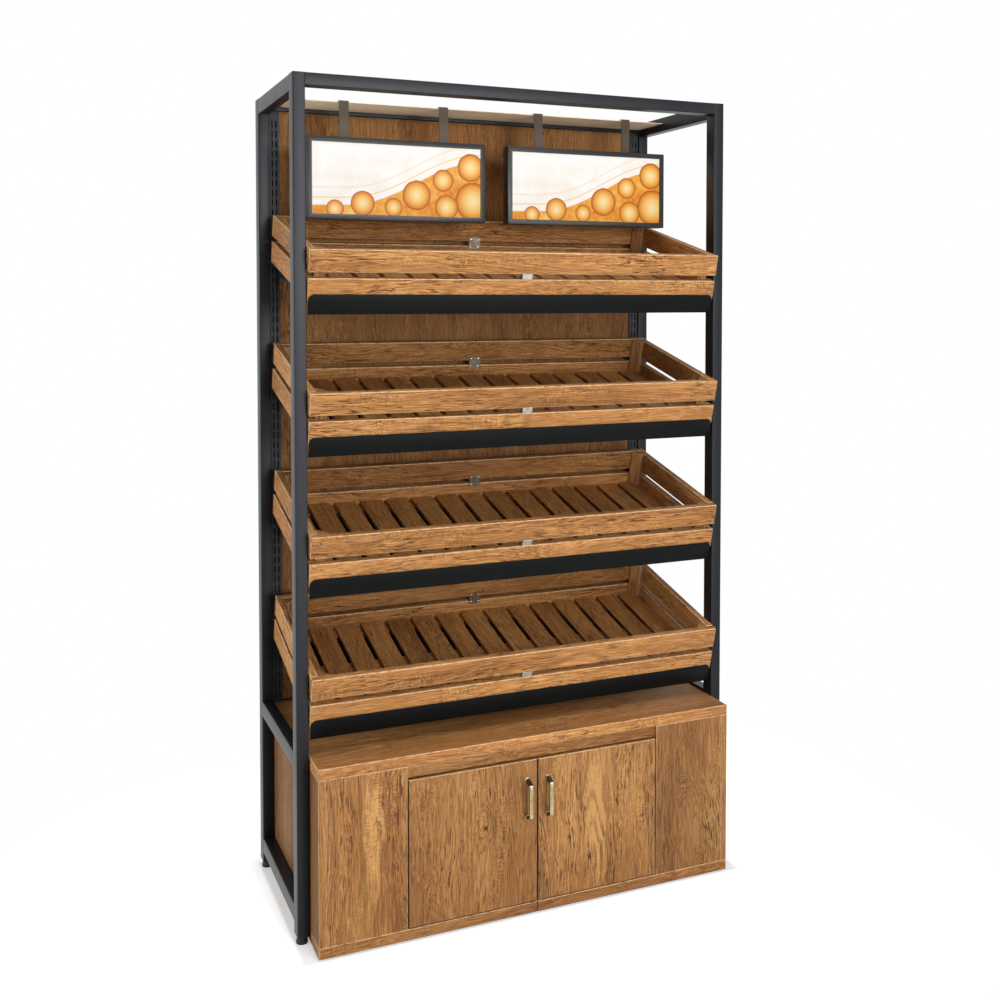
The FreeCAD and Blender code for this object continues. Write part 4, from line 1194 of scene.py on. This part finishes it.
for (side_name, side), wood in zip(SIDES, (oak_left_door, oak_right_door)):
    finished(side_name + "_door_board", [door_leaf(side)], [wood, soft_edge, edge_wear_and_painted_highlight, gap_painted_shade],
             side_name + "_door_leaf", "oak_board", side_name + "_door")


# black strips fill the slit between the cupboard and the rear uprights: dark pieces put where there is only
# shade, painted shade
strip = block("dark_shade_strip", (CUPBOARD_HALF + SHADE_STRIP_PLAY, REAR_UPRIGHT_FACE + SHADE_STRIP_SETBACK, INSIDE_LOW),
              (INNER_HALF - SHADE_STRIP_PLAY, CUPBOARD_BACK, CUPBOARD_TOP - SHADE_STRIP_DROP))
ease(strip, along_axis(2), EASED_STRIP)
finished("dark_shade_strips", [strip, copy_piece(strip, "dark_shade_strip", flip_x=True)], [black_plastic], "rack",
         "black_plastic")


# ------------------------------------------------------- floor, light, camera
def seen_by_eye(tree):
    """1 for what the eye sees directly, in a reflection or through something clear."""
    path = add(tree, "ShaderNodeLightPath")
    seen = calc(tree, "ADD", path.outputs["Is Camera Ray"], path.outputs["Is Glossy Ray"], clamp=True)
    return calc(tree, "ADD", seen, path.outputs["Is Transmission Ray"], clamp=True)


def white_floor():
    """Pale floor that keeps the rack's soft shadow, adds a painted shadow round its footprint and fades to
    white away from it.
    """
    nothing_selected()
    bpy.ops.mesh.primitive_plane_add(size=40.0, location=(0.0, 0.0, 0.0))
    plane = bpy.context.object
    plane.name = "studio_floor"
    material = bpy.data.materials.new("studio_white")
    material.use_nodes = True
    tree = material.node_tree
    tree.nodes.clear()
    output = add(tree, "ShaderNodeOutputMaterial")
    matte = add(tree, "ShaderNodeBsdfDiffuse")
    matte.inputs["Color"].default_value = FLOOR_GREY
    place = axes(tree, object_place(tree))
    squares = []
    for axis, middle, half in ((0, 0.0, FRAME_HALF), (1, FOOTPRINT_MIDDLE, FOOTPRINT_HALF)):
        out = calc(tree, "ABSOLUTE", calc(tree, "SUBTRACT", place[axis], middle))
        out = calc(tree, "MAXIMUM", calc(tree, "SUBTRACT", out, half), 0.0)
        squares.append((out, out))
    away = calc(tree, "SQRT", summed(tree, *squares))
    # the glow is weaker near the rack's footprint: painted shadow
    glow_with_painted_shadow = add(tree, "ShaderNodeEmission")
    link(tree, ramp(tree, away, [(0.0, 0.42), (0.008, 0.68), (0.04, 0.82), (0.35, 0.95)]),
         glow_with_painted_shadow.inputs["Strength"])
    both = add(tree, "ShaderNodeAddShader")
    feed(tree, both.inputs, (matte.outputs[0], glow_with_painted_shadow.outputs[0]))
    far_glow = add(tree, "ShaderNodeEmission")
    far_glow.inputs["Strength"].default_value = 1.0
    far = ramp(tree, away, [(0.30, 0.0), (0.75, 1.0)])
    seen = add(tree, "ShaderNodeMixShader")
    feed(tree, seen.inputs, (far, both.outputs[0], far_glow.outputs[0]))
    final = add(tree, "ShaderNodeMixShader")
    feed(tree, final.inputs, (seen_by_eye(tree), matte.outputs[0], seen.outputs[0]))
    link(tree, final.outputs[0], output.inputs["Surface"])
    plane.data.materials.append(material)


def white_surroundings(ambient):
    """World that is white to the eye and lights the object at a lower level."""
    world = bpy.data.worlds.new("studio")
    bpy.context.scene.world = world
    world.use_nodes = True
    tree = world.node_tree
    tree.nodes.clear()
    output = add(tree, "ShaderNodeOutputWorld")
    mix = add(tree, "ShaderNodeMixShader")
    sources = []
    for strength in (ambient, 1.0):
        source = add(tree, "ShaderNodeBackground")
        feed(tree, source.inputs, (WHITE, strength))
        sources.append(source.outputs[0])
    feed(tree, mix.inputs, (seen_by_eye(tree), *sources))
    link(tree, mix.outputs[0], output.inputs["Surface"])


def soft_light(name, place, aim, size, power):
    data = bpy.data.lights.new(name, "AREA")
    data.shape = "RECTANGLE"
    data.size, data.size_y = size
    data.energy = power
    lamp = bpy.data.objects.new(name, data)
    lamp.location = place
    lamp.rotation_euler = (Vector(aim) - Vector(place)).to_track_quat("-Z", "Y").to_euler()
    bpy.context.scene.collection.objects.link(lamp)


white_floor()
white_surroundings(ambient=0.14)
soft_light("key_light", (0.7, -4.3, 2.0), (0.0, 0.0, 1.1), (2.2, 1.8), 120.0)
soft_light("top_light", (0.0, -1.6, 4.6), (0.0, 0.0, 1.2), (2.4, 1.6), 44.0)
soft_light("left_fill", (-4.2, 0.2, 0.9), (0.0, 0.0, 1.2), (1.8, 1.6), 86.0)
soft_light("floor_bounce", (0.3, -2.8, 0.25), (0.0, 0.2, 2.1), (2.4, 1.0), 22.0)

camera_data = bpy.data.cameras.new("front_left_view")
camera = bpy.data.objects.new("front_left_view", camera_data)
bpy.context.scene.collection.objects.link(camera)
camera.location = CAMERA_PLACE
camera.rotation_euler = (math.radians(90.0 - CAMERA_DIP), 0.0, math.radians(CAMERA_TURN))
camera_data.sensor_width = SENSOR_WIDTH
camera_data.lens = LENS
camera_data.shift_y = LENS_SHIFT
bpy.context.scene.camera = camera
bpy.context.scene.view_settings.view_transform = "Standard"
